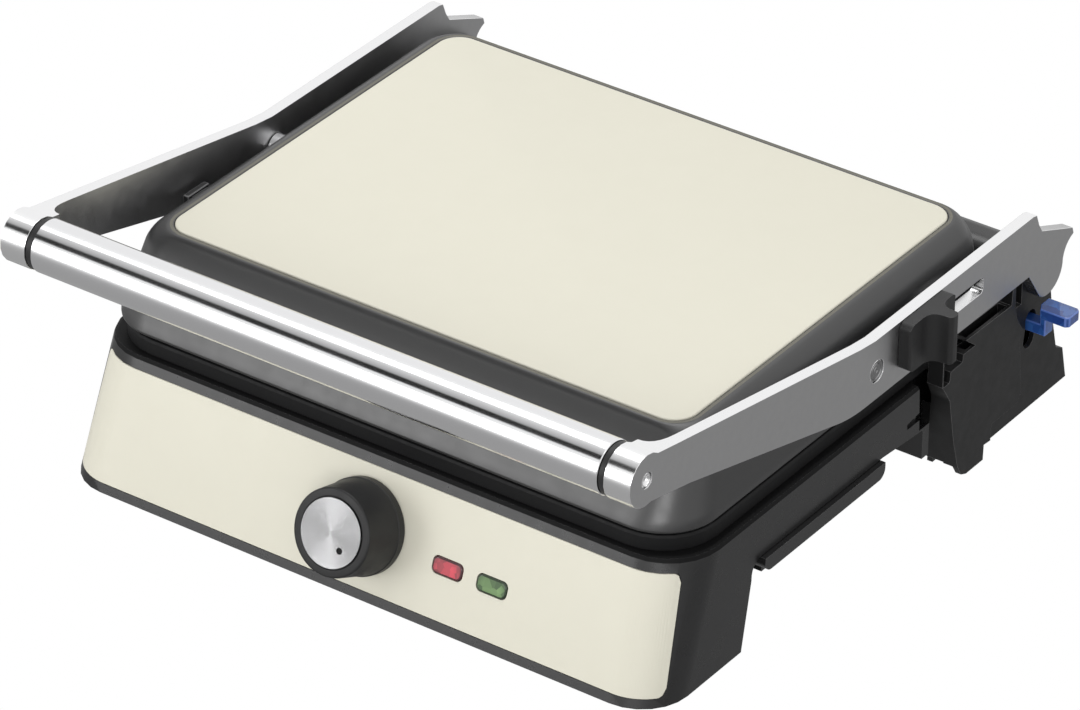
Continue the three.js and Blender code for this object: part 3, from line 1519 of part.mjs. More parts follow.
function upperPlate() {
  const flangeLow = upperLow + ribHeight;
  const inset = upperWall + clearance;
  const flangeZ = flangeLow + plateFlange;
  const share = (flangeZ - widestZ) / (upperTop - widestZ);
  const outer = upperSide(flangeZ) - inset - clearance;
  const front = mix(upperFront, frameReach, share) - inset - clearance;
  const rear = mix(upperRear, frameReach, share) - inset - clearance;
  const sized = (edge, z) => ring(
    outer - edge, front - edge, rear - edge, z, Math.max(upperCorner - edge - inset, beadRound),
  );
  const body = loft([
    sized(basinInset, upperFloor),
    sized(upperTuck + beadRound, upperLow + clearance + beadRound),
    sized(upperTuck + beadRound / 2, upperLow + clearance),
    sized(upperTuck, upperLow + clearance),
    sized(upperTuck, flangeLow),
    sized(0, flangeLow),
    sized(0, flangeZ),
    sized(basinInset, upperFloor + plateThickness),
  ]);
  const ribs = ribBars(
    upperFloor + plateThickness / 2, upperLow + 2 * clearance, -(front - basinInset - ribEndGap),
    rear - basinInset - ribEndGap,
  );
  return join(body, ...ribs);
}

place('upper_plate', upperPlate(), blackCoat);
place('upper_element', heatingElement(upperElementZ), steel);
place('upper_reflector', reflector(
  reflectorHalf, beadFront - reflectorMargin, beadRear - reflectorMargin, upperReflectorZ,
  upperReflectorZ - reflectorRim,
), sheetMetal);

function tiltBush() {
  return turnedX([
    [tiltScrewRadius + pinPlay, upperSide(tiltZ - bushRadius) + clearance],
    [bushRadius, upperSide(tiltZ - bushRadius) + clearance],
    [bushRadius, armInner - clearance], [tiltScrewRadius + pinPlay, armInner - clearance],
  ]).translate(0, tiltY, tiltZ);
}

for (const [name, side] of sides) {
  const sided = (geometry) => (side > 0 ? merged(geometry) : mirrored(merged(geometry)));
  place(`handle_plug_${name}`, sided(handlePlug()), darkPlastic);
  place(`handle_screw_${name}`, sided(handleScrew()), steel);
  place(`tilt_screw_${name}`, sided(tiltScrew()), steel);
  place(`tilt_bush_${name}`, sided(tiltBush()), chrome);
  place(`hinge_pin_${name}`, sided(barX(
    hingePinRadius, waistHalf + 2 * clearance, armInner - clearance, hingeY, hingeZ,
  )), steel);
}

// Height slider on the right arm: a block with a finger rib, and the spring clip in the slot.
function heightSlider() {
  const inner = armOuter + clearance;
  const tip = sliderOuter + ribReach;
  const plan = new THREE.Shape();
  plan.moveTo(inner, sliderFront);
  plan.lineTo(sliderOuter - sliderEdge, sliderFront);
  plan.quadraticCurveTo(sliderOuter, sliderFront, sliderOuter, sliderFront + sliderEdge);
  plan.lineTo(sliderOuter, ribFront - ribScoop);
  plan.quadraticCurveTo(sliderOuter, ribFront, sliderOuter + ribScoop, ribFront);
  plan.lineTo(tip - ribRound, ribFront);
  plan.quadraticCurveTo(tip, ribFront, tip, ribFront + ribRound);
  plan.lineTo(tip, ribRear - ribRound);
  plan.quadraticCurveTo(tip, ribRear, tip - ribRound, ribRear);
  plan.lineTo(sliderOuter + ribScoop, ribRear);
  plan.quadraticCurveTo(sliderOuter, ribRear, sliderOuter, ribRear + ribScoop);
  plan.lineTo(sliderOuter, sliderRear - sliderEdge);
  plan.quadraticCurveTo(sliderOuter, sliderRear, sliderOuter - sliderEdge, sliderRear);
  plan.lineTo(inner, sliderRear);
  return common(
    alongZ(plan, sliderTop - sliderDepth, sliderTop),
    alongX(
      roundedRectangle(sliderFront, sliderRear, sliderTop - sliderDepth, sliderTop, sliderRound),
      inner - overrun, tip + overrun,
    ),
  );
}

function sliderClip() {
  const stem = block(
    armInner - clearance, armOuter, clipFront, clipRear, slotLow + clearance,
    slotLow + slotHeight - clearance,
  );
  const flange = block(
    armInner - clearance - clipFlange, armInner - clearance, clipFront - clipFlangeSpread, clipRear,
    slotLow - clipFlangeSpread, slotLow + slotHeight + clipFlangeSpread,
  );
  const hole = barX(
    clipHoleRadius, armOuter - clipHoleDepth, armOuter + overrun, clipRear - clipHoleInset,
    slotLow + slotHeight / 2, cornerSteps * 2,
  );
  return cut(join(stem, flange), hole);
}

place('height_slider', heightSlider(), darkPlastic);
place('slider_clip', sliderClip(), chrome);

// Plate release buttons on the left: a cap outside the wall and a stem through it.
function releaseButton(face, z, wall) {
  const cap = block(
    face, face + buttonReach, buttonY - buttonWidth / 2, buttonY + buttonWidth / 2, z - buttonHeight / 2,
    z + buttonHeight / 2,
  );
  const stem = block(
    face - wall - buttonStem, face + overrun, buttonY - buttonWidth / 2 + buttonHeight / 2,
    buttonY + buttonWidth / 2 - buttonHeight / 2, z - buttonHeight / 4, z + buttonHeight / 4,
  );
  return mirrored(join(cap, stem));
}

place('upper_plate_release', releaseButton(
  upperSide(upperTop - upperButtonDrop - buttonHeight / 2) + buttonTravel + clearance,
  upperTop - upperButtonDrop, upperWall,
), darkPlastic);
place('lower_plate_release', releaseButton(
  mix(baseHalfLow, baseHalfHigh, (lowerButtonZ - buttonHeight / 2) / baseHeight) + buttonTravel + clearance,
  lowerButtonZ, baseSideWall,
), darkPlastic);

// The origin goes to the table, under the middle of the bounding box.
grill.position.set(
  -(leverTip - armOuter) / 2,
  (handleReach + handleRadius - bracketFront - bracketRun) / 2,
  footDrop,
);

export default grill;
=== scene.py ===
"""A contact grill with a painted lid on two metal arms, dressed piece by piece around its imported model."""

import json
import math

import bmesh
import bpy
import numpy as np
from mathutils import Matrix, Vector

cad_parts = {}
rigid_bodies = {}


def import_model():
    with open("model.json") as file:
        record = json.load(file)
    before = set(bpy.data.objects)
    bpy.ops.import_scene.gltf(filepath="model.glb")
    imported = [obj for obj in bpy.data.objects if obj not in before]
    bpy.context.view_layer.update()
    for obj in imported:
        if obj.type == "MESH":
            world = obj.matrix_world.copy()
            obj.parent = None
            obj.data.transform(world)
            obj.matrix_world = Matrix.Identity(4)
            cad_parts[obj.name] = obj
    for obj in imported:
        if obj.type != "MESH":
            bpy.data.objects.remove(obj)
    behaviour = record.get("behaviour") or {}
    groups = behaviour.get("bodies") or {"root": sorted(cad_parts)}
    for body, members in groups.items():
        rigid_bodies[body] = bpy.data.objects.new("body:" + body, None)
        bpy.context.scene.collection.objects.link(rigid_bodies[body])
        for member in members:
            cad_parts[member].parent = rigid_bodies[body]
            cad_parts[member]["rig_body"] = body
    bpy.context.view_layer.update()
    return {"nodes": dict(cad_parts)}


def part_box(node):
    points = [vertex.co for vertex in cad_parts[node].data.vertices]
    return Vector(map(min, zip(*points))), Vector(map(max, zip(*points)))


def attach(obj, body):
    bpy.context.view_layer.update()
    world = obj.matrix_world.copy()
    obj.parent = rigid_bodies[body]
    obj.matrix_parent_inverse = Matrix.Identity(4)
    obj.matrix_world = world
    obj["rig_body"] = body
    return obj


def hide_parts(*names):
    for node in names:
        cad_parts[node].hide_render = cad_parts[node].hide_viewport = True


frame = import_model()
nodes = frame["nodes"]

# Camera: a long lens in front of the grill, to its right and above it. Its place, turn and focal length
# were solved from edges in the photograph.
camera_place = Vector((1.47755, -2.1007, 1.6686))
camera_axes = (
    (0.81316, 0.58202, 0.00480),  # right
    (-0.31306, 0.43040, 0.84661),  # up
    (0.49067, -0.68993, 0.53219),  # back
)
camera_lens = 216.4
camera_sensor = 36  # width in mm
camera_reach = 20
camera = bpy.data.objects.new("camera", bpy.data.cameras.new("camera"))
camera.data.lens = camera_lens
camera.data.sensor_width = camera_sensor
camera.data.clip_end = camera_reach
camera.matrix_world = Matrix.Translation(camera_place) @ Matrix(camera_axes).transposed().to_4x4()
bpy.context.collection.objects.link(camera)
bpy.context.scene.camera = camera

# Studio: a pale floor that the grill stands on and a white surround. The camera sees both as plain
# white, and the light that they give the grill is set apart from that.
scene = bpy.context.scene
scene.view_settings.view_transform = "Standard"
floor_colour = (0.83, 0.83, 0.83, 1)
floor_half = 4.0
# How grey mirrors see the floor beside the grill: a painted shade round it.
mirrored_floor_painted_shade = 0.38
mirrored_shade_span = (0.25, 2.2)  # from the middle, where it starts and stops growing paler
ambient_strength = 0.40
square = ((-1, -1), (1, -1), (1, 1), (-1, 1))


def seen_white(tree, shaded, white_shader):
    """Shows the white shader to the camera, to mirrors and through glass, and the shaded surface to all
    other rays."""
    path = tree.nodes.new("ShaderNodeLightPath")
    either = tree.nodes.new("ShaderNodeMath")
    either.operation = "MAXIMUM"
    glass = tree.nodes.new("ShaderNodeMath")
    glass.operation = "MAXIMUM"
    mix = tree.nodes.new("ShaderNodeMixShader")
    tree.links.new(path.outputs["Is Camera Ray"], either.inputs[0])
    tree.links.new(path.outputs["Is Glossy Ray"], either.inputs[1])
    tree.links.new(either.outputs[0], glass.inputs[0])
    tree.links.new(path.outputs["Is Transmission Ray"], glass.inputs[1])
    tree.links.new(glass.outputs[0], mix.inputs[0])
    tree.links.new(shaded, mix.inputs[1])
    tree.links.new(white_shader, mix.inputs[2])
    return mix.outputs[0]


world = bpy.data.worlds.new("studio")
scene.world = world
world.use_nodes = True
tree = world.node_tree
tree.nodes.clear()
ambient = tree.nodes.new("ShaderNodeBackground")
ambient.inputs["Color"].default_value = (1, 1, 1, 1)
ambient.inputs["Strength"].default_value = ambient_strength
surround = tree.nodes.new("ShaderNodeBackground")
surround.inputs["Color"].default_value = (1, 1, 1, 1)
surround.inputs["Strength"].default_value = 1.0
world_out = tree.nodes.new("ShaderNodeOutputWorld")
tree.links.new(seen_white(tree, ambient.outputs[0], surround.outputs[0]), world_out.inputs["Surface"])

floor_mesh = bpy.data.meshes.new("floor")
floor_mesh.from_pydata([(a * floor_half, b * floor_half, 0) for a, b in square], [], [(0, 1, 2, 3)])
floor = bpy.data.objects.new("floor", floor_mesh)
bpy.context.collection.objects.link(floor)
floor_paint = bpy.data.materials.new("pale_floor")
floor_paint.use_nodes = True
tree = floor_paint.node_tree
tree.nodes.clear()
matt = tree.nodes.new("ShaderNodeBsdfDiffuse")
matt.inputs["Color"].default_value = floor_colour
lit = tree.nodes.new("ShaderNodeEmission")
# Mirrors see the floor white far away and grey beside the grill, a painted shade seen in reflections only.
away = tree.nodes.new("ShaderNodeVectorMath")
away.operation = "LENGTH"
tree.links.new(tree.nodes.new("ShaderNodeTexCoord").outputs["Object"], away.inputs[0])
dimmed = tree.nodes.new("ShaderNodeMapRange")
dimmed.interpolation_type = "SMOOTHSTEP"
dimmed.inputs["From Min"].default_value, dimmed.inputs["From Max"].default_value = mirrored_shade_span
dimmed.inputs["To Min"].default_value, dimmed.inputs["To Max"].default_value = mirrored_floor_painted_shade, 1.0
strength = tree.nodes.new("ShaderNodeMix")
strength.inputs["A"].default_value = 1.0
tree.links.new(away.outputs["Value"], dimmed.inputs["Value"])
tree.links.new(tree.nodes.new("ShaderNodeLightPath").outputs["Is Glossy Ray"], strength.inputs["Factor"])
tree.links.new(dimmed.outputs[0], strength.inputs["B"])
tree.links.new(strength.outputs["Result"], lit.inputs["Strength"])
floor_out = tree.nodes.new("ShaderNodeOutputMaterial")
tree.links.new(seen_white(tree, matt.outputs[0], lit.outputs[0]), floor_out.inputs["Surface"])
floor.data.materials.append(floor_paint)


# Lamps: a wide soft box above, one in front on each side for the satin highlights, and a weak one on the
# right. A flag that only mirrors see is black at its foot and runs from mid grey to pale grey above it,
# which draws the dark line along polished tubes.
lamps = {  # place, aim, width, height, watts
    "overhead": ((-0.3, 0.2, 1.9), (0, 0, 0), 1.6, 1.6, 20),
    "front_left": ((-1.15, -1.95, 0.62), (0, 0, 0.08), 0.95, 1.0, 11.5),
    "front_right": ((0.9, -2.1, 0.9), (0, 0, 0.05), 0.9, 0.7, 13),
    "right_box": ((2.0, 0.1, 0.8), (0, 0, 0.05), 0.6, 1.2, 1.5),
}
for name, (place, aim, width, height, watts) in lamps.items():
    lamp = bpy.data.lights.new(name, "AREA")
    lamp.shape = "RECTANGLE"
    lamp.size, lamp.size_y, lamp.energy = width, height, watts
    box = bpy.data.objects.new(name, lamp)
    box.location = place
    box.rotation_mode = "QUATERNION"
    box.rotation_quaternion = (Vector(aim) - Vector(place)).to_track_quat("-Z", "Y")
    bpy.context.collection.objects.link(box)

flag_middle = Vector((-0.80, -0.49, 1.51))
flag_half = (0.85, 0.75)  # along x, and across
flag_across = Vector((0, -0.84, -0.54))
flag_foot = (0.29, (0.02, 0.02, 0.02, 1))  # the share of its height up to which it is this grey
flag_line = (0.31, (0.44, 0.44, 0.44, 1))
flag_head = (1.0, (0.90, 0.90, 0.90, 1))
flag_mesh = bpy.data.meshes.new("black_flag")
flag_mesh.from_pydata([
    tuple(flag_middle + Vector((a * flag_half[0], 0, 0)) + b * flag_half[1] * flag_across)
    for a, b in square
], [], [(0, 1, 2, 3)])
flag = bpy.data.objects.new("black_flag", flag_mesh)
bpy.context.collection.objects.link(flag)
flag.visible_camera = False
flag.visible_diffuse = False
flag.visible_shadow = False
flag.visible_transmission = False
flag_cloth = bpy.data.materials.new("shaded_cloth")
flag_cloth.use_nodes = True
tree = flag_cloth.node_tree
tree.nodes.clear()
height_on = tree.nodes.new("ShaderNodeSeparateXYZ")
tree.links.new(tree.nodes.new("ShaderNodeTexCoord").outputs["Object"], height_on.inputs[0])
up = tree.nodes.new("ShaderNodeMapRange")
up.inputs["From Min"].default_value = flag_middle.z + flag_half[1] * flag_across.z
up.inputs["From Max"].default_value = flag_middle.z - flag_half[1] * flag_across.z
shades = tree.nodes.new("ShaderNodeValToRGB")
ramp = shades.color_ramp.elements
ramp[0].position, ramp[0].color = flag_foot
ramp[1].position, ramp[1].color = flag_head
ramp.new(flag_line[0]).color = flag_line[1]
glow = tree.nodes.new("ShaderNodeEmission")
flag_out = tree.nodes.new("ShaderNodeOutputMaterial")
tree.links.new(height_on.outputs["Z"], up.inputs["Value"])
tree.links.new(up.outputs[0], shades.inputs[0])
tree.links.new(shades.outputs[0], glow.inputs["Color"])
tree.links.new(glow.outputs[0], flag_out.inputs["Surface"])
flag.data.materials.append(flag_cloth)


# Lid insert: a flat steel sheet with rounded corners, sprayed cream with a satin lacquer and laid in
# the lid's recess. Its edge is rolled over.
cream = (0.800, 0.776, 0.655, 1)
insert_low, insert_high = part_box("lid_insert")
insert_corner = 0.012
insert_roll = 0.0009
relief_detail, relief_roughness = 3, 0.55  # of the noise in the relief of every skin
relief_height = 0.0001
cloud_range = (0.3, 0.7)  # what the broad noise mostly lies between


def rounded_loop(half, front, rear, radius, middle_x, steps=14):
    """Points round a rectangle with round corners, seen from above: for each corner, its centre plus the
    radius times (cos, sin) of an angle that runs through a quarter turn. All sizes may be arrays, with
    one value per loop."""
    sizes = (half, front, rear, radius)
    half, front, rear, radius = (np.atleast_1d(np.asarray(size, float))[:, None] for size in sizes)
    quarter = np.linspace(0, np.pi / 2, steps)[None, :]
    corners = []
    for turn, side, end in (
        (np.pi, -1, front), (1.5 * np.pi, 1, front), (0, 1, rear), (0.5 * np.pi, -1, rear),
    ):
        inward = radius if end is front else -radius
        corners.append(np.stack((
            middle_x + side * (half - radius) + radius * np.cos(quarter + turn),
            end + inward + radius * np.sin(quarter + turn),
        ), axis=-1))
    return np.concatenate(corners, axis=1)


def skin(name, rings, material, body, closed=False, smooth=35):
    """A surface over a grid of points, ring after ring: each square joins two neighbours on one ring to the
    same two on the next ring. A closed skin joins its last ring to its first, and others fill both end
    rings. The faces point out when the rings run counter-clockwise about the way that they follow."""
    rings = np.asarray(rings, float)
    count, size = rings.shape[:2]
    index = np.arange(count * size).reshape(count, size)
    here, there = (index, np.roll(index, -1, 0)) if closed else (index[:-1], index[1:])
    squares = np.stack((here, np.roll(here, -1, 1), np.roll(there, -1, 1), there), axis=-1).reshape(-1, 4)
    faces = squares.tolist()
    if not closed:
        faces += [index[0][::-1].tolist(), index[-1].tolist()]
    mesh = bpy.data.meshes.new(name)
    mesh.from_pydata(rings.reshape(-1, 3).tolist(), [], faces)
    mesh.update()
    piece = bpy.data.objects.new(name, mesh)
    bpy.context.collection.objects.link(piece)
    mesh.shade_smooth()
    mesh.set_sharp_from_angle(angle=math.radians(smooth))
    mesh.materials.append(material)
    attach(piece, body)
    return piece


def stacked(loops, heights):
    """Lifts flat loops to their heights: every point gets the height of its loop as its third number."""
    heights = np.broadcast_to(np.asarray(heights, float)[:, None, None], (*loops.shape[:2], 1))
    return np.concatenate((loops, heights), axis=-1)


def wrinkle_group():
    """Relief of a moulded or sprayed skin. Fine = noise at Scale, Broad = noise at a tenth of it.
    Height = Fine * Fine share + Broad * Broad share, and Cloud is the broad noise by itself."""
    group = bpy.data.node_groups.new("skin_relief", "ShaderNodeTree")
    for socket, value in (("Scale", 900.0), ("Fine share", 1.0), ("Broad share", 0.3)):
        entry = group.interface.new_socket(socket, in_out="INPUT", socket_type="NodeSocketFloat")
        entry.default_value = value
    for socket in ("Height", "Cloud"):
        group.interface.new_socket(socket, in_out="OUTPUT", socket_type="NodeSocketFloat")
    link, new = group.links.new, group.nodes.new
    given, out = new("NodeGroupInput"), new("NodeGroupOutput")
    where = new("ShaderNodeTexCoord")
    tenth = new("ShaderNodeMath")
    tenth.operation = "MULTIPLY"
    tenth.inputs[1].default_value = 0.1
    link(given.outputs["Scale"], tenth.inputs[0])
    shares = []
    for scale, share in ((given.outputs["Scale"], "Fine share"), (tenth.outputs[0], "Broad share")):
        noise = new("ShaderNodeTexNoise")
        noise.inputs["Detail"].default_value = relief_detail
        noise.inputs["Roughness"].default_value = relief_roughness
        link(where.outputs["Object"], noise.inputs["Vector"])
        link(scale, noise.inputs["Scale"])
        part = new("ShaderNodeMath")
        part.operation = "MULTIPLY"
        link(noise.outputs[0], part.inputs[0])
        link(given.outputs[share], part.inputs[1])
        shares.append(part.outputs[0])
    total = new("ShaderNodeMath")
    total.operation = "ADD"
    link(shares[0], total.inputs[0])
    link(shares[1], total.inputs[1])
    link(total.outputs[0], out.inputs["Height"])
    link(noise.outputs[0], out.inputs["Cloud"])
    return group


skin_relief = wrinkle_group()


def coated(
    name, colour, rough, rough_swing, scale, bump, tone=0.06, metallic=0.0, coat=0.0, coat_rough=0.1,
    level=0.5,
):
    """A Principled skin whose colour and roughness drift with the relief group's cloud and whose bump is
    its height: colour = colour * (1 - tone * cloud), and roughness = rough + rough_swing * s, where s runs
    from 0 to 1 as the cloud runs through cloud_range."""
    material = bpy.data.materials.new(name)
    material.use_nodes = True
    tree = material.node_tree
    shader = tree.nodes["Principled BSDF"]
    shader.inputs["Metallic"].default_value = metallic
    shader.inputs["Coat Weight"].default_value = coat
    shader.inputs["Coat Roughness"].default_value = coat_rough
    shader.inputs["Specular IOR Level"].default_value = level
    relief = tree.nodes.new("ShaderNodeGroup")
    relief.node_tree = skin_relief
    relief.inputs["Scale"].default_value = scale
    swing = tree.nodes.new("ShaderNodeMapRange")
    swing.inputs["From Min"].default_value, swing.inputs["From Max"].default_value = cloud_range
    swing.inputs["To Min"].default_value, swing.inputs["To Max"].default_value = rough, rough + rough_swing
    tint = tree.nodes.new("ShaderNodeMix")
    tint.data_type = "RGBA"
    tint.inputs["A"].default_value = colour
    tint.inputs["B"].default_value = (*[c * (1 - tone) for c in colour[:3]], 1)
    raised = tree.nodes.new("ShaderNodeBump")
    raised.inputs["Strength"].default_value = bump
    raised.inputs["Distance"].default_value = relief_height
    tree.links.new(relief.outputs["Cloud"], swing.inputs["Value"])
    tree.links.new(swing.outputs[0], shader.inputs["Roughness"])
    tree.links.new(relief.outputs["Cloud"], tint.inputs["Factor"])
    tree.links.new(tint.outputs["Result"], shader.inputs["Base Color"])
    tree.links.new(relief.outputs["Height"], raised.inputs["Height"])
    tree.links.new(raised.outputs[0], shader.inputs["Normal"])
    return material


cream_paint = coated(
    "cream_lacquer", cream, rough=0.46, rough_swing=0.08, scale=700, bump=0.10, tone=0.02, coat=0.12,
    coat_rough=0.3, level=0.42,
)
insert_half = (insert_high.x - insert_low.x) / 2
insert_middle = (insert_high.x + insert_low.x) / 2
turn = np.linspace(0, np.pi / 2, 6)
inset = np.concatenate(([0], insert_roll * (1 - np.cos(turn))))
height = np.concatenate(([insert_low.z], insert_high.z - insert_roll + insert_roll * np.sin(turn)))
lid_sheet = skin(
    "lid_sheet",
    stacked(rounded_loop(
        insert_half - inset, insert_low.y + inset, insert_high.y - inset, insert_corner - inset, insert_middle,
    ), height),
    cream_paint, "upper",
)
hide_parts("lid_insert")


# Upper housing: the lid's moulded shell of dark grey nylon, open below. Its sides lean in towards a
# round shoulder, a narrow flat edge frames the painted insert, and its foot is tucked in.
satin_nylon = coated(
    "satin_nylon", (0.027, 0.027, 0.0275, 1), rough=0.32, rough_swing=0.06, scale=1400, bump=0.06,
    tone=0.06, level=0.75,
)
# A lighter warm grey for the flat edge round the insert: a painted highlight on the dark nylon.
rim_painted_highlight = coated(
    "rim_painted_highlight", (0.165, 0.158, 0.130, 1), rough=0.45, rough_swing=0.08, scale=1400, bump=0.06,
    tone=0.05, level=0.3,
)
merge_gap = 2e-6  # corners closer than this become one


def dressed(node, material, edge=0.0004, steps=2, angle=30, flatten=0.5, edge_material=None):
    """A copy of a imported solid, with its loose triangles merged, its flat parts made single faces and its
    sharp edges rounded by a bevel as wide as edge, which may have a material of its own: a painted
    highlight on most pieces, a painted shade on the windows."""
    mesh = nodes[node].data.copy()
    mesh.name = node + "_shell"
    work = bmesh.new()
    work.from_mesh(mesh)
    bmesh.ops.remove_doubles(work, verts=work.verts, dist=merge_gap)
    bmesh.ops.dissolve_limit(work, angle_limit=math.radians(flatten), verts=work.verts, edges=work.edges)
    work.to_mesh(mesh)
    work.free()
    mesh.shade_smooth()
    mesh.set_sharp_from_angle(angle=math.radians(angle))
    mesh.materials.clear()
    mesh.materials.append(material)
    if edge_material:
        mesh.materials.append(edge_material)
    piece = bpy.data.objects.new(node + "_shell", mesh)
    bpy.context.collection.objects.link(piece)
    rounded = piece.modifiers.new("rounded_edges", "BEVEL")
    rounded.width = edge
    rounded.segments = steps
    rounded.limit_method = "ANGLE"
    rounded.angle_limit = math.radians(angle)
    rounded.harden_normals = True
    rounded.use_clamp_overlap = True
    rounded.material = 1 if edge_material else -1
    evened = piece.modifiers.new("even_shading", "WEIGHTED_NORMAL")
    evened.keep_sharp = True
    evened.weight = 100
    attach(piece, nodes[node]["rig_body"])
    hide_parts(node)
    return piece


shell_low, shell_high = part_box("upper_housing")
shell_middle = (shell_low.x + shell_high.x) / 2
shell_wall = 0.003
shell_tuck = 0.0039  # how far its foot is drawn in
shell_tuck_rise = 0.0026
shell_lean = 0.0060  # from the widest line to the shoulder, on each side
shoulder_drop = 0.010
shoulder_in = 0.0098
shoulder_pull = (0.75, 0.30)  # the shoulder's control point, as shares of its drop and its run
rim_width = 0.0035  # the flat edge round the insert
rim_break = 0.0012  # the small round at the front and rear of that edge
recess_depth = 0.0017
insert_gap = 0.0003  # all round the insert
corner_trim = 0.004  # the most that the corner radius loses where a loop is drawn in
tuck_power = 0.8  # shapes the curve of the foot
break_from = 0.6  # the share of the shoulder's curve where the rim's break starts
ceiling_depth = 0.0044
shell_corner = (0.028, 0.0155)  # corner radius at the widest line and at the top
widest = shell_low.z + shell_tuck_rise
shell_half = (shell_high.x - shell_low.x) / 2
rim_half = insert_half + insert_gap + rim_width
rim_front = insert_low.y - insert_gap - rim_width
rim_rear = insert_high.y + insert_gap + rim_width


def shell_loops(height, side_in, end_in):
    """Loops of the lid's outside at each height. With s the share of the way from the widest line to the
    top, front, rear and corner radius run straight from their lower to their upper value, and side_in and
    end_in are then taken off the sides and off the front and rear."""
    share = (height - widest) / (shell_high.z - widest)
    return stacked(rounded_loop(
        shell_half - side_in,
        shell_low.y + (rim_front - shell_low.y) * share + end_in,
        shell_high.y + (rim_rear - shell_high.y) * share - end_in,
        shell_corner[0] + (shell_corner[1] - shell_corner[0]) * share - np.minimum(end_in, corner_trim),
        shell_middle,
    ), height)


def of_faces(piece, what):
    """One row for each face of a piece: the three numbers of its centre or of its normal."""
    values = np.empty(len(piece.data.polygons) * 3)
    piece.data.polygons.foreach_get(what, values)
    return values.reshape(-1, 3)


def paint_faces(piece, chosen, material):
    """Gives the chosen faces, a true or false for each face, a material of their own, and the others the
    first material of the piece."""
    if material not in list(piece.data.materials):
        piece.data.materials.append(material)
    index = list(piece.data.materials).index(material)
    piece.data.polygons.foreach_set("material_index", (index * chosen).astype(np.int32))


curve = np.linspace(0, 1, 12)
bend = np.linspace(0, 1, 5)
tuck_z = shell_low.z + shell_tuck_rise * (1 - np.cos(bend * np.pi / 2)) ** tuck_power
tuck_in = shell_tuck * (1 - np.sin(bend * np.pi / 2))
side_z = np.linspace(widest, shell_high.z - shoulder_drop, 8)[1:-1]
side_in = shell_lean * (side_z - widest) / (shell_high.z - shoulder_drop - widest)
pull_rise, pull_in = (2 * curve * (1 - curve) * pull + curve ** 2 for pull in shoulder_pull)
round_z = shell_high.z - shoulder_drop * (1 - pull_rise)
round_in = shell_lean + (shell_half - shell_lean - rim_half) * pull_in
outer_z = np.concatenate((tuck_z, side_z, round_z))
outer_in = np.concatenate((tuck_in, side_in, round_in))
break_in = rim_break * np.clip((curve - break_from) / (1 - break_from), 0, 1) ** 2
outer_end = np.concatenate((tuck_in, np.zeros(len(side_z)), break_in))
inner_z = np.array([shell_high.z - ceiling_depth, shell_high.z - shoulder_drop, widest, shell_low.z])
inner_foot = shell_tuck + shell_wall / 2
inner_in = np.array([shoulder_in + shell_wall, shell_lean + shell_wall, shell_wall, inner_foot])
inner_end = np.array([shell_wall, shell_wall, shell_wall, inner_foot])
recess_out = np.array([0.0021, 0.0006, 0.0001, 0, 0])  # outside the recess's wall, loop by loop
recess_drop = np.array([0, 0, 0.0003, 0.0008, recess_depth])  # below the lid's top
recess = stacked(rounded_loop(
    insert_half + insert_gap + recess_out, insert_low.y - insert_gap - recess_out,
    insert_high.y + insert_gap + recess_out, insert_corner + insert_gap + recess_out, shell_middle,
), shell_high.z - recess_drop)
shell_rings = np.concatenate((
    shell_loops(inner_z, inner_in, inner_end), shell_loops(outer_z, outer_in, outer_end), recess,
))
lid_shell = skin("lid_shell", shell_rings, satin_nylon, "upper", smooth=40)
ring_of_face = np.arange(len(lid_shell.data.polygons)) // shell_rings.shape[1]
rim_ring = len(shell_rings) - len(recess)  # the flat strip beside the insert
# The flat strip beside the insert gets that lighter warm grey, the painted highlight.
paint_faces(lid_shell, ring_of_face == rim_ring, rim_painted_highlight)
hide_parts("upper_housing")

# Grill plates: two ribbed aluminium castings with a black non-stick coat. The lower one's rim lies on
# the base, and the upper one hangs inside the lid.
coating = coated(
    "non_stick_coat", (0.009, 0.009, 0.0095, 1), rough=0.50, rough_swing=0.12, scale=2200, bump=0.2,
    tone=0.2, level=0.2,
)
dressed("lower_plate", coating, edge=0.0008, steps=3)
dressed("upper_plate", coating, edge=0.0006, steps=2)

# Base housing: one dark satin moulding with the front feet, the arches and the deck, closed below by a
# cover. Its rounded edges are coloured a lighter grey, a painted highlight.
base_nylon = coated(
    "base_nylon", (0.011, 0.011, 0.0115, 1), rough=0.26, rough_swing=0.06, scale=1400, bump=0.12,
    tone=0.1, level=0.62,
)
edge_painted_highlight = coated(
    "edge_painted_highlight", (0.16, 0.16, 0.162, 1), rough=0.30, rough_swing=0.08, scale=1400, bump=0.05,
    tone=0.06, level=0.5,
)
deck_painted_shade = coated(
    "deck_painted_shade", (0.008, 0.008, 0.0083, 1), rough=0.5, rough_swing=0.08, scale=1400, bump=0.12,
    tone=0.1, level=0.1,
)
deck_line = 0.0660  # above it lie the deck and its rounded lip
base_shell = dressed(
    "lower_housing", base_nylon, edge=0.0007, steps=2, flatten=0.02, edge_material=edge_painted_highlight,
)
# The deck and its lip get a darker, duller skin: painted shade under the lid.
paint_faces(base_shell, of_faces(base_shell, "center")[:, 2] > deck_line, deck_painted_shade)

# Bottom cover: a thin dark moulding screwed under the base. It carries the feet and the two runners of
# the tray.
dressed("bottom_cover", base_nylon, edge=0.0005, steps=2)

# Drip tray: a dark moulded pan below the lower plate, which slides in from the right on the cover's
# runners. Its outer end has a rounded lip for the fingers.
# Its rounded edges get the painted highlight as well.
dressed("drip_tray", base_nylon, edge=0.0006, steps=2, edge_material=edge_painted_highlight)

# Hinge cover: a dark moulded channel that lies on the deck between the two brackets, over the line of
# the hinges.
# Its rounded edges get the painted highlight as well.
dressed("hinge_cover", base_nylon, edge=0.0006, steps=2, edge_material=edge_painted_highlight)

# Front panel: a steel sheet bent round the base's front corners, sprayed with the same cream lacquer as
# the lid, with openings for the knob's shaft and the windows.
dressed("front_panel", cream_paint, edge=0.0005, steps=2)

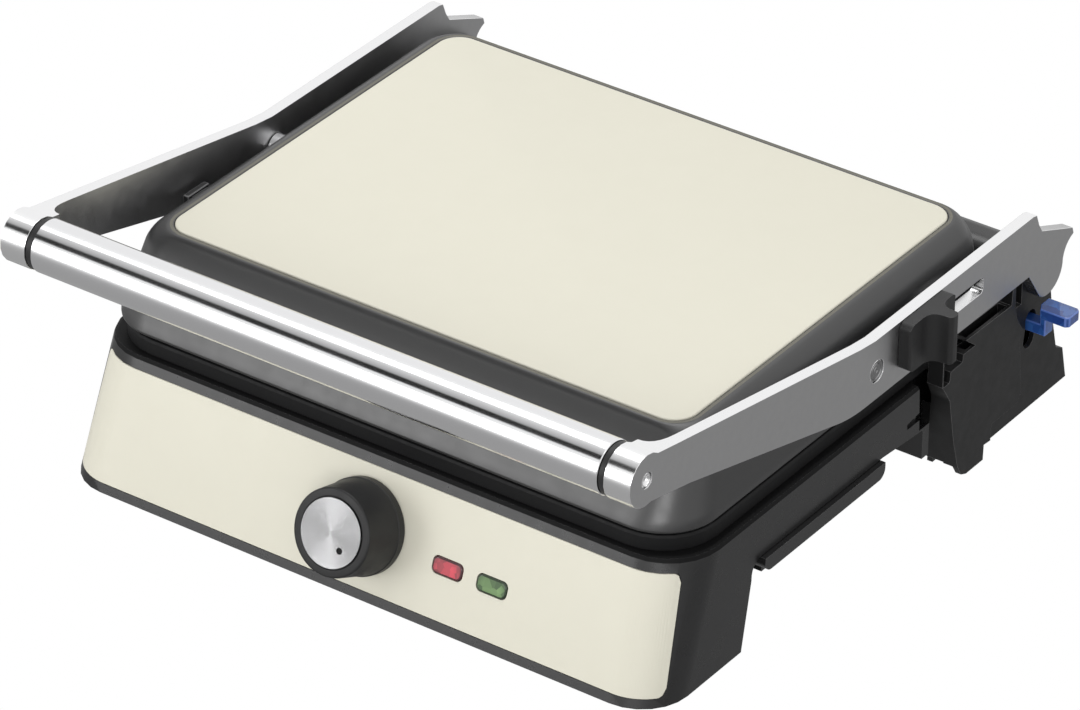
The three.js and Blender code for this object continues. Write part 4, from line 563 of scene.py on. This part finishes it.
# Hinge brackets: dark mouldings screwed to the base's rear corners, which carry the hinge pins. The
# right one has the stair for the slider, and the slot that the lever comes out of.
bracket_nylon = coated(
    "bracket_nylon", (0.014, 0.014, 0.0143, 1), rough=0.38, rough_swing=0.10, scale=1500, bump=0.16,
    tone=0.12, level=0.30,
)
# A lighter grey on the rounded edges: a painted highlight.
bracket_edge_painted_highlight = coated(
    "bracket_edge_painted_highlight", (0.15, 0.15, 0.152, 1), rough=0.30, rough_swing=0.08, scale=1400, bump=0.05,
    tone=0.06, level=0.5,
)
for node in ("hinge_bracket_left", "hinge_bracket_right"):
    dressed(node, bracket_nylon, edge=0.0008, steps=3, edge_material=bracket_edge_painted_highlight)

# Arms: flat aluminium castings, blasted to a satin grey on both faces, with polished edges and round
# ends that close the handle. The bright metal of the edges is partly that polish, partly a painted highlight.
satin_cast = coated(
    "satin_casting", (0.50, 0.50, 0.504, 1), rough=0.34, rough_swing=0.08, scale=1600, bump=0.10,
    tone=0.08, metallic=1.0,
)
# Bright polished metal, which on the arms' edges also serves as a painted highlight.
polished_metal_and_painted_highlight = coated(
    "polished_metal_and_painted_highlight", (0.86, 0.86, 0.865, 1), rough=0.16, rough_swing=0.05, scale=500, bump=0.02,
    tone=0.02, metallic=1.0,
)
side_facing = 0.6  # a face whose normal has less than this to the side belongs to an edge
# Edge faces and bevels get the bright metal: polish and a painted highlight together.
for node in ("arm_left", "arm_right"):
    arm = dressed(node, satin_cast, edge=0.0006, steps=2, edge_material=polished_metal_and_painted_highlight)
    paint_faces(arm, np.abs(of_faces(arm, "normal")[:, 0]) < side_facing, polished_metal_and_painted_highlight)

# Handle: a thin-walled chromed steel tube between the ends of the two arms, with broken edges. A screw
# through each arm holds it.
chrome = coated(
    "chrome", (0.80, 0.80, 0.81, 1), rough=0.13, rough_swing=0.03, scale=300, bump=0.01, tone=0.01,
    metallic=1.0,
)
tube_low, tube_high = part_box("handle_tube")
tube_radius = (tube_high.z - tube_low.z) / 2
tube_wall = 0.0015
tube_edge = 0.0004


def turned(profile, centre, axis, count=96):
    """Rings of a turned shape: for each (radius, distance) of the profile, the centre plus distance along
    the axis plus radius times (cos, sin) of a full turn in the plane square to it."""
    profile = np.asarray(profile, float)
    axis = np.asarray(axis, float) / np.linalg.norm(axis)
    side = np.cross((0.0, 1.0, 0.0) if abs(axis[1]) < 0.9 else (1.0, 0.0, 0.0), axis)
    side /= np.linalg.norm(side)
    other = np.cross(axis, side)
    angle = np.linspace(0, 2 * np.pi, count, endpoint=False)
    around = np.cos(angle)[:, None] * side + np.sin(angle)[:, None] * other
    lengthwise = profile[:, 1, None, None] * axis
    outward = profile[:, 0, None, None] * around[None]
    return np.asarray(centre, float) + lengthwise + outward


tube_half = (tube_high.x - tube_low.x) / 2
tube_centre = (tube_low + tube_high) / 2
handle_bar = skin(
    "handle_bar",
    turned([
        (tube_radius - tube_wall, -tube_half), (tube_radius - tube_edge, -tube_half),
        (tube_radius, -tube_half + tube_edge), (tube_radius, 0), (tube_radius, tube_half - tube_edge),
        (tube_radius - tube_edge, tube_half), (tube_radius - tube_wall, tube_half),
        (tube_radius - tube_wall, 0),
    ], tube_centre, (1, 0, 0)),
    chrome, "arms", closed=True,
)
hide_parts("handle_tube")

# Handle plugs: dark mouldings pressed into both ends of the tube. Their rims stand between the tube and
# the arms and show as rings.
matt_nylon = coated(
    "matt_nylon", (0.021, 0.021, 0.0215, 1), rough=0.40, rough_swing=0.10, scale=1500, bump=0.16,
    tone=0.12, level=0.32,
)
for side in ("left", "right"):
    dressed("handle_plug_" + side, matt_nylon, edge=0.0003, steps=2)

# Handle screws: nickel-plated steel with a socket in the head, one through each arm into the end of the
# handle. The head lies countersunk in the arm.
on_axis = 1e-6  # the radius that closes a turned shape on its axis
screw_tip = (0.0003, 0.0004)  # its chamfer, across and along
head_round = 0.0002  # at the lower edge of the head
handle_head = ((0, 0.0005), (0.0004, 0.0001), (0.0008, 0))  # in from the rim, and below the face
socket = 0.0021  # its half width
handle_socket = (  # distance from the axis, and below the face
    (socket + 0.0003, 0.0002), (socket, 0.0005), (socket * 0.8, socket * 0.7), (on_axis, socket * 0.9),
)


def screw(node, shaft_radius, head_depth, rim, middle, material, count):
    """A screw as a turned skin: its chamfered tip, its shaft, the underside of its head, then the points of
    rim, which are (distance in from the head's edge, distance below its face), and the points of middle,
    which are (distance from the axis, distance below the face). Its head points away from the grill."""
    low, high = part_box(node)
    right = node.endswith("right")
    length = high.x - low.x
    head_radius = (high.z - low.z) / 2
    profile = [
        (on_axis, -length), (shaft_radius - screw_tip[0], -length), (shaft_radius, -length + screw_tip[1]),
        (shaft_radius, -head_depth), (head_radius - head_round, -head_depth),
        (head_radius, -head_depth + head_round),
    ]
    profile += [(head_radius - inward, -below) for inward, below in rim]
    profile += [(radius, -below) for radius, below in middle]
    face = (high.x if right else low.x, (low.y + high.y) / 2, (low.z + high.z) / 2)
    rings = turned(profile, face, (1 if right else -1, 0, 0), count)
    piece = skin(node + "_skin", rings, material, "arms", smooth=30)
    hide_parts(node)
    return piece


for node in ("handle_screw_left", "handle_screw_right"):
    screw(
        node, shaft_radius=0.0018, head_depth=0.0016, rim=handle_head, middle=handle_socket,
        material=polished_metal_and_painted_highlight, count=48,
    )

# Tilt screws: broad flat heads, flush with the arms, turned with a groove near the rim and a small
# raised stamp in the middle. The upper half tilts on their shafts.
screw_face = coated(
    "screw_face", (0.30, 0.30, 0.302, 1), rough=0.30, rough_swing=0.08, scale=1500, bump=0.06,
    tone=0.06, metallic=1.0,
)
tilt_head = (  # in from the rim, and below the face: the chamfer, the outer ring and the groove
    (0, 0.0004), (0.0004, 0), (0.0011, 0), (0.0015, 0.0004), (0.0019, 0.0004), (0.0022, 0.0002),
)
tilt_stamp = (  # distance from the axis, and below the face
    (0.0019, 0.0002), (0.0017, 0), (0.0011, 0), (0.0009, 0.0003), (on_axis, 0.0003),
)
bright_ring = 0.0003  # from the rim to the middle of the polished chamfer, and half its width
for node in ("tilt_screw_left", "tilt_screw_right"):
    screw_skin = screw(
        node, shaft_radius=0.003, head_depth=0.0018, rim=tilt_head, middle=tilt_stamp,
        material=screw_face, count=64,
    )
    low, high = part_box(node)
    axis_place = ((low.y + high.y) / 2, (low.z + high.z) / 2)
    from_rim = (high.z - low.z) / 2 - np.linalg.norm(of_faces(screw_skin, "center")[:, 1:] - axis_place, axis=1)
    paint_faces(screw_skin, np.abs(from_rim - bright_ring) < bright_ring, polished_metal_and_painted_highlight)

# Tilt bushes: chromed steel sleeves round the tilt screws, in the gap between the lid's sides and the
# arms.
for side in ("left", "right"):
    dressed("tilt_bush_" + side, chrome, edge=0.0004, steps=2)

# Hinge pins: two ground steel pins, each through a bracket and the rear end of its arm. The lid opens
# about them.
turned_metal = coated(
    "machined_steel", (0.60, 0.60, 0.61, 1), rough=0.25, rough_swing=0.08, scale=900, bump=0.05,
    tone=0.03, metallic=1.0,
)
for side in ("left", "right"):
    dressed("hinge_pin_" + side, turned_metal, edge=0.0003, steps=1)

# Knob: a dark moulded drum on the control's shaft, which widens slightly towards its collar at the
# panel. A turned aluminium disc is let into its face.
knob_seat = Vector((-0.00935, -0.147381, 0.0343))  # where its axis meets the panel
knob_lean = math.radians(20.39)
knob_axis = Vector((0, -math.cos(knob_lean), math.sin(knob_lean)))
drum_radius, drum_reach = 0.0209, 0.0258
drum_flare = 0.0015  # how much wider it is at the collar
collar_radius, collar_depth = 0.0230, 0.0050
drum_edge = 0.0011
face_radius, face_recess = 0.0164, 0.0008
bore_radius, bore_end = 0.0033, 0.0199
panel_gap = 0.0003  # between the knob and the panel
collar_round = 0.0004
drum_fillet = ((0.0002, 0.0001), (0, 0.0006))  # out from the drum's foot, and up from the collar
face_gap, face_mouth = 0.0003, 0.0008  # round the disc, at its edge and at the drum's front
edge_turn = np.linspace(0, np.pi / 2, 6)
drum_profile = np.concatenate((
    [(on_axis, bore_end), (bore_radius, bore_end), (bore_radius, panel_gap)],
    [(collar_radius - collar_round, panel_gap), (collar_radius, panel_gap + collar_round)],
    [(collar_radius, collar_depth - collar_round), (collar_radius - collar_round, collar_depth)],
    [(drum_radius + drum_flare + outward, collar_depth + upward) for outward, upward in drum_fillet],
    np.stack((
        drum_radius - drum_edge + drum_edge * np.cos(edge_turn),
        drum_reach - drum_edge + drum_edge * np.sin(edge_turn),
    ), axis=1),
    [(face_radius + face_mouth, drum_reach), (face_radius + face_gap, drum_reach - face_gap)],
    [(face_radius + face_gap, drum_reach - face_recess), (on_axis, drum_reach - face_recess)],
))
control_drum = skin(
    "control_drum", turned(drum_profile, knob_seat, knob_axis, 128), matt_nylon, "control", smooth=30,
)
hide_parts("knob")

# Knob face: a spun aluminium disc let into the knob, whose fine turning marks spread the light into two
# bright wedges, with a small sunk mark.
spun_pitch = 0.00022
spun_slope = 0.40
mark_band = (0.005, 0.0125)  # the distances from the axis that the mark lies between
mark_sink = 0.0003  # its floor lies at least this far below the face
mark_wall = 0.5  # a face that looks less than this forward is a wall
disc_back = 0.0001  # faces closer than this to the back of the disc aren't the mark


def spun_group():
    """The normal of a lathe-turned face. With r the part of a point's offset from the centre that is square
    to the axis: normal = unit(face normal + slope * sin(2 pi |r| / pitch) * r / |r|)."""
    group = bpy.data.node_groups.new("spun_marks", "ShaderNodeTree")
    for socket, kind in (("Centre", "Vector"), ("Axis", "Vector"), ("Pitch", "Float"), ("Slope", "Float")):
        group.interface.new_socket(socket, in_out="INPUT", socket_type="NodeSocket" + kind)
    group.interface.new_socket("Normal", in_out="OUTPUT", socket_type="NodeSocketVector")
    link, new = group.links.new, group.nodes.new

    def vector(operation, *inputs):
        """A vector node that does one operation on its inputs, taken in their order."""
        node = new("ShaderNodeVectorMath")
        node.operation = operation
        for socket, source in zip(node.inputs, inputs):
            link(source, socket)
        return node

    given, out = new("NodeGroupInput"), new("NodeGroupOutput")
    where, surface = new("ShaderNodeTexCoord"), new("ShaderNodeNewGeometry")
    offset = vector("SUBTRACT", where.outputs["Object"], given.outputs["Centre"])
    along = vector("DOT_PRODUCT", offset.outputs[0], given.outputs["Axis"])
    lengthwise = vector("SCALE", given.outputs["Axis"])
    link(along.outputs["Value"], lengthwise.inputs["Scale"])
    radial = vector("SUBTRACT", offset.outputs[0], lengthwise.outputs[0])
    radius = vector("LENGTH", radial.outputs[0])
    turns = new("ShaderNodeMath")
    turns.operation = "DIVIDE"
    link(radius.outputs["Value"], turns.inputs[0])
    link(given.outputs["Pitch"], turns.inputs[1])
    phase = new("ShaderNodeMath")
    phase.operation = "MULTIPLY"
    phase.inputs[1].default_value = 2 * math.pi
    link(turns.outputs[0], phase.inputs[0])
    wave = new("ShaderNodeMath")
    wave.operation = "SINE"
    link(phase.outputs[0], wave.inputs[0])
    slope = new("ShaderNodeMath")
    slope.operation = "MULTIPLY"
    link(wave.outputs[0], slope.inputs[0])
    link(given.outputs["Slope"], slope.inputs[1])
    outward = vector("NORMALIZE", radial.outputs[0])
    leaned = vector("SCALE", outward.outputs[0])
    link(slope.outputs[0], leaned.inputs["Scale"])
    to_world = new("ShaderNodeVectorTransform")
    to_world.vector_type = "VECTOR"
    to_world.convert_from, to_world.convert_to = "OBJECT", "WORLD"
    link(leaned.outputs[0], to_world.inputs[0])
    total = vector("ADD", surface.outputs["Normal"], to_world.outputs[0])
    link(vector("NORMALIZE", total.outputs[0]).outputs[0], out.inputs["Normal"])
    return group


spun_disc = coated(
    "spun_disc", (0.46, 0.46, 0.465, 1), rough=0.20, rough_swing=0.05, scale=900, bump=0.0, tone=0.03,
    metallic=1.0,
)
spun_tree = spun_disc.node_tree
marks = spun_tree.nodes.new("ShaderNodeGroup")
marks.node_tree = spun_group()
marks.inputs["Centre"].default_value = knob_seat
marks.inputs["Axis"].default_value = knob_axis
marks.inputs["Pitch"].default_value = spun_pitch
marks.inputs["Slope"].default_value = spun_slope
spun_tree.links.new(marks.outputs["Normal"], spun_tree.nodes["Principled BSDF"].inputs["Normal"])
# The walls and floor of the sunk mark are coloured near black.
sunk_mark_dark = coated(
    "sunk_mark_dark", (0.006, 0.006, 0.006, 1), rough=0.5, rough_swing=0.1, scale=900, bump=0.05, tone=0.1,
    level=0.2,
)
knob_disc = dressed("knob_face", spun_disc, edge=0.00015, steps=2)
offsets = of_faces(knob_disc, "center") - np.array(knob_seat)
along = offsets @ np.array(knob_axis)
from_axis = np.linalg.norm(offsets - along[:, None] * np.array(knob_axis), axis=1)
forward = of_faces(knob_disc, "normal") @ np.array(knob_axis)
in_band = (from_axis > mark_band[0]) & (from_axis < mark_band[1])
sunk = (forward < mark_wall) | (along < along.max() - mark_sink)
paint_faces(knob_disc, in_band & sunk & (along > along.min() + disc_back), sunk_mark_dark)

# Knob shaft: a ground steel spindle that carries the knob and leads through the panel to the control
# behind it.
dressed("knob_shaft", turned_metal, edge=0.0002, steps=1)


# Indicator windows: clear tinted mouldings, glossy outside and cut in facets inside, that stand just
# proud of the panel.
facet_shade_span = (0.3, 1.0)  # where it starts and ends, as shares of the reach


def facet_group():
    """The painted light of facets behind a clear window: cells of a Voronoi pattern, each with a level of
    its own that stands in for the glint of its facet, darkened by a painted shade away from the middle:
    Level = random number of the cell * (1 - smoothstep over facet_shade_span of |p - Centre| / Reach), from 0
    to 1."""
    group = bpy.data.node_groups.new("facet_glints_and_shade", "ShaderNodeTree")
    for socket, kind in (("Scale", "Float"), ("Centre", "Vector"), ("Reach", "Float")):
        group.interface.new_socket(socket, in_out="INPUT", socket_type="NodeSocket" + kind)
    group.interface.new_socket("Level", in_out="OUTPUT", socket_type="NodeSocketFloat")
    link, new = group.links.new, group.nodes.new
    given, out, where = new("NodeGroupInput"), new("NodeGroupOutput"), new("ShaderNodeTexCoord")
    cells = new("ShaderNodeTexVoronoi")
    link(where.outputs["Object"], cells.inputs["Vector"])
    link(given.outputs["Scale"], cells.inputs["Scale"])
    split = new("ShaderNodeSeparateColor")
    link(cells.outputs["Color"], split.inputs[0])
    offset = new("ShaderNodeVectorMath")
    offset.operation = "DISTANCE"
    link(where.outputs["Object"], offset.inputs[0])
    link(given.outputs["Centre"], offset.inputs[1])
    share = new("ShaderNodeMath")
    share.operation = "DIVIDE"
    link(offset.outputs["Value"], share.inputs[0])
    link(given.outputs["Reach"], share.inputs[1])
    fade = new("ShaderNodeMapRange")
    fade.interpolation_type = "SMOOTHSTEP"
    fade.inputs["From Min"].default_value, fade.inputs["From Max"].default_value = facet_shade_span
    fade.inputs["To Min"].default_value, fade.inputs["To Max"].default_value = 1.0, 0.0
    link(share.outputs[0], fade.inputs["Value"])
    level = new("ShaderNodeMath")
    level.operation = "MULTIPLY"
    link(split.outputs[0], level.inputs[0])
    link(fade.outputs[0], level.inputs[1])
    link(level.outputs[0], out.inputs["Level"])
    return group


facet_glints_and_shade = facet_group()


def tinted(name, deep, bright, rough, through, scale, coat=0.3, centre=(0, 0, 0), reach=10.0):
    """Clear coloured plastic: its colour runs from deep to bright with the facets' painted glints and shade,
    under a coat.
    """
    material = coated(
        name, bright, rough, rough_swing=0.03, scale=500, bump=0.02, tone=0.1, coat=coat, coat_rough=0.04,
        level=0.4,
    )
    tree = material.node_tree
    shader = tree.nodes["Principled BSDF"]
    shader.inputs["Transmission Weight"].default_value = through
    facets = tree.nodes.new("ShaderNodeGroup")
    facets.node_tree = facet_glints_and_shade
    facets.inputs["Scale"].default_value = scale
    facets.inputs["Centre"].default_value = centre
    facets.inputs["Reach"].default_value = reach
    tint = tree.nodes.new("ShaderNodeMix")
    tint.data_type = "RGBA"
    tint.inputs["A"].default_value = deep
    tint.inputs["B"].default_value = bright
    tree.links.new(facets.outputs["Level"], tint.inputs["Factor"])
    tree.links.new(tint.outputs["Result"], shader.inputs["Base Color"])
    return material


# The edge colour of each window is a painted shade along its rounded edge.
windows = {  # deep colour, bright colour, and the colour of the edge
    "red": ((0.22, 0.05, 0.06, 1), (0.86, 0.09, 0.13, 1), (0.07, 0.02, 0.025, 1)),
    "green": ((0.06, 0.12, 0.045, 1), (0.28, 0.47, 0.18, 1), (0.025, 0.045, 0.02, 1)),
}
# The windows' colour runs between deep and bright as painted glints, darkening towards the edge as painted
# shade.
window_reach = 0.0105  # from a window's middle to where it is darkest
for colour, (deep, bright, rim) in windows.items():
    low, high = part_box(colour + "_lens")
    window = tinted(
        colour + "_window", deep, bright, rough=0.12, through=0.1, scale=300,
        centre=(low.x / 2 + high.x / 2, low.y, low.z / 2 + high.z / 2), reach=window_reach,
    )
    window_edge_painted_shade = coated(
        colour + "_window_edge_painted_shade", rim, rough=0.2, rough_swing=0.05, scale=500, bump=0.03, tone=0.1, coat=0.2,
    )
    dressed(colour + "_lens", window, edge=0.0009, steps=3, edge_material=window_edge_painted_shade)

# Height slider: a dark moulding with a scooped finger rib, held on the right arm by its clip and pushed
# along it by hand.
# A lighter grey on its rounded edges and rib: a painted highlight.
slider_edge_painted_highlight = coated(
    "slider_edge_painted_highlight", (0.10, 0.10, 0.101, 1), rough=0.32, rough_swing=0.08, scale=1400, bump=0.05,
    tone=0.06, level=0.45,
)
dressed("height_slider", matt_nylon, edge=0.0013, steps=3, angle=40, edge_material=slider_edge_painted_highlight)

# Slider clip: a bright bent steel spring behind the slider. It runs in the slot of the arm and holds
# the slider by friction.
dressed("slider_clip", polished_metal_and_painted_highlight, edge=0.0003, steps=2)

# Release lever: a clear blue moulding that turns on a pin in the right bracket. Its tab stands out on
# the right, and the facets inside it show as painted glints, cells of lighter and darker blue.
blue_clear = tinted(
    "blue_lever", (0.025, 0.08, 0.36, 1), (0.06, 0.22, 0.70, 1), rough=0.07, through=0.35, scale=220,
    coat=0.8,
)
# A lighter blue on its rounded edges: a painted highlight.
lever_edge_painted_highlight = coated(
    "blue_lever_painted_highlight", (0.10, 0.20, 0.62, 1), rough=0.10, rough_swing=0.04, scale=500, bump=0.02,
    tone=0.1, coat=1.0, coat_rough=0.05,
)
dressed("release_lever", blue_clear, edge=0.0006, steps=3, edge_material=lever_edge_painted_highlight)

# Lever pin and spring: the ground steel pin that the lever turns on, and the wound steel wire that
# brings the lever back up.
dressed("lever_pin", turned_metal, edge=0.0002, steps=1)
dressed("lever_spring", turned_metal, edge=0.00005, steps=1, angle=60)

# Plate release buttons: small dark moulded caps on the left side, one for each plate, pushed in against
# a spring.
# Their rounded edges get the brackets' painted highlight.
for node in ("upper_plate_release", "lower_plate_release"):
    dressed(node, matt_nylon, edge=0.0006, steps=2, edge_material=bracket_edge_painted_highlight)

# Feet: four black rubber discs pushed into the bottom cover, which keep the grill off the table and
# from sliding.
rubber = coated(
    "black_rubber", (0.012, 0.012, 0.012, 1), rough=0.7, rough_swing=0.15, scale=1500, bump=0.3,
    tone=0.2,
)
for node in ("foot_front_left", "foot_front_right", "foot_rear_left", "foot_rear_right"):
    dressed(node, rubber, edge=0.0008, steps=3)

# Cord inlet: a black rubber sleeve with a flange, set in the rear wall, where the supply enters the
# base.
dressed("cord_inlet", rubber, edge=0.0005, steps=2)

# Base screws: four plated steel screws, one near each corner of the bottom cover, which hold it to the
# base.
for node in ("base_screw_1", "base_screw_2", "base_screw_3", "base_screw_4"):
    dressed(node, turned_metal, edge=0.0002, steps=2)

# Heating elements: a steel-sheathed rod bent over each plate, on the side away from the food and tanned
# by the heat. They can't be seen from outside.
element_sheath = coated(
    "element_sheath", (0.25, 0.22, 0.2, 1), rough=0.4, rough_swing=0.15, scale=800, bump=0.1, tone=0.3,
    metallic=1.0,
)


def recoated(node, material):
    """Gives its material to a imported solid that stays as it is."""
    nodes[node].data.materials.clear()
    nodes[node].data.materials.append(material)


for node in ("lower_element", "upper_element"):
    recoated(node, element_sheath)

# Reflectors: a shallow tray of thin bright steel behind each heating element, which throws the heat back
# at the plate.
bright_sheet = coated(
    "bright_sheet", (0.7, 0.7, 0.7, 1), rough=0.25, rough_swing=0.1, scale=500, bump=0.05, tone=0.1,
    metallic=1.0,
)
for node in ("lower_reflector", "upper_reflector"):
    recoated(node, bright_sheet)

# Thermostat and terminal block: two bodies of glazed ceramic, fixed inside the base, that switch the
# heat and join the wires.
ceramic = coated(
    "ceramic", (0.6, 0.57, 0.5, 1), rough=0.6, rough_swing=0.1, scale=900, bump=0.2, tone=0.1,
)
for node in ("thermostat", "terminal_block"):
    recoated(node, ceramic)

# Indicator board: a lacquered circuit board inside the base, behind the two windows, with a small lamp
# for each of them.
board_green = coated(
    "board_green", (0.03, 0.12, 0.05, 1), rough=0.4, rough_swing=0.1, scale=900, bump=0.1, tone=0.2,
)
recoated("indicator_board", board_green)
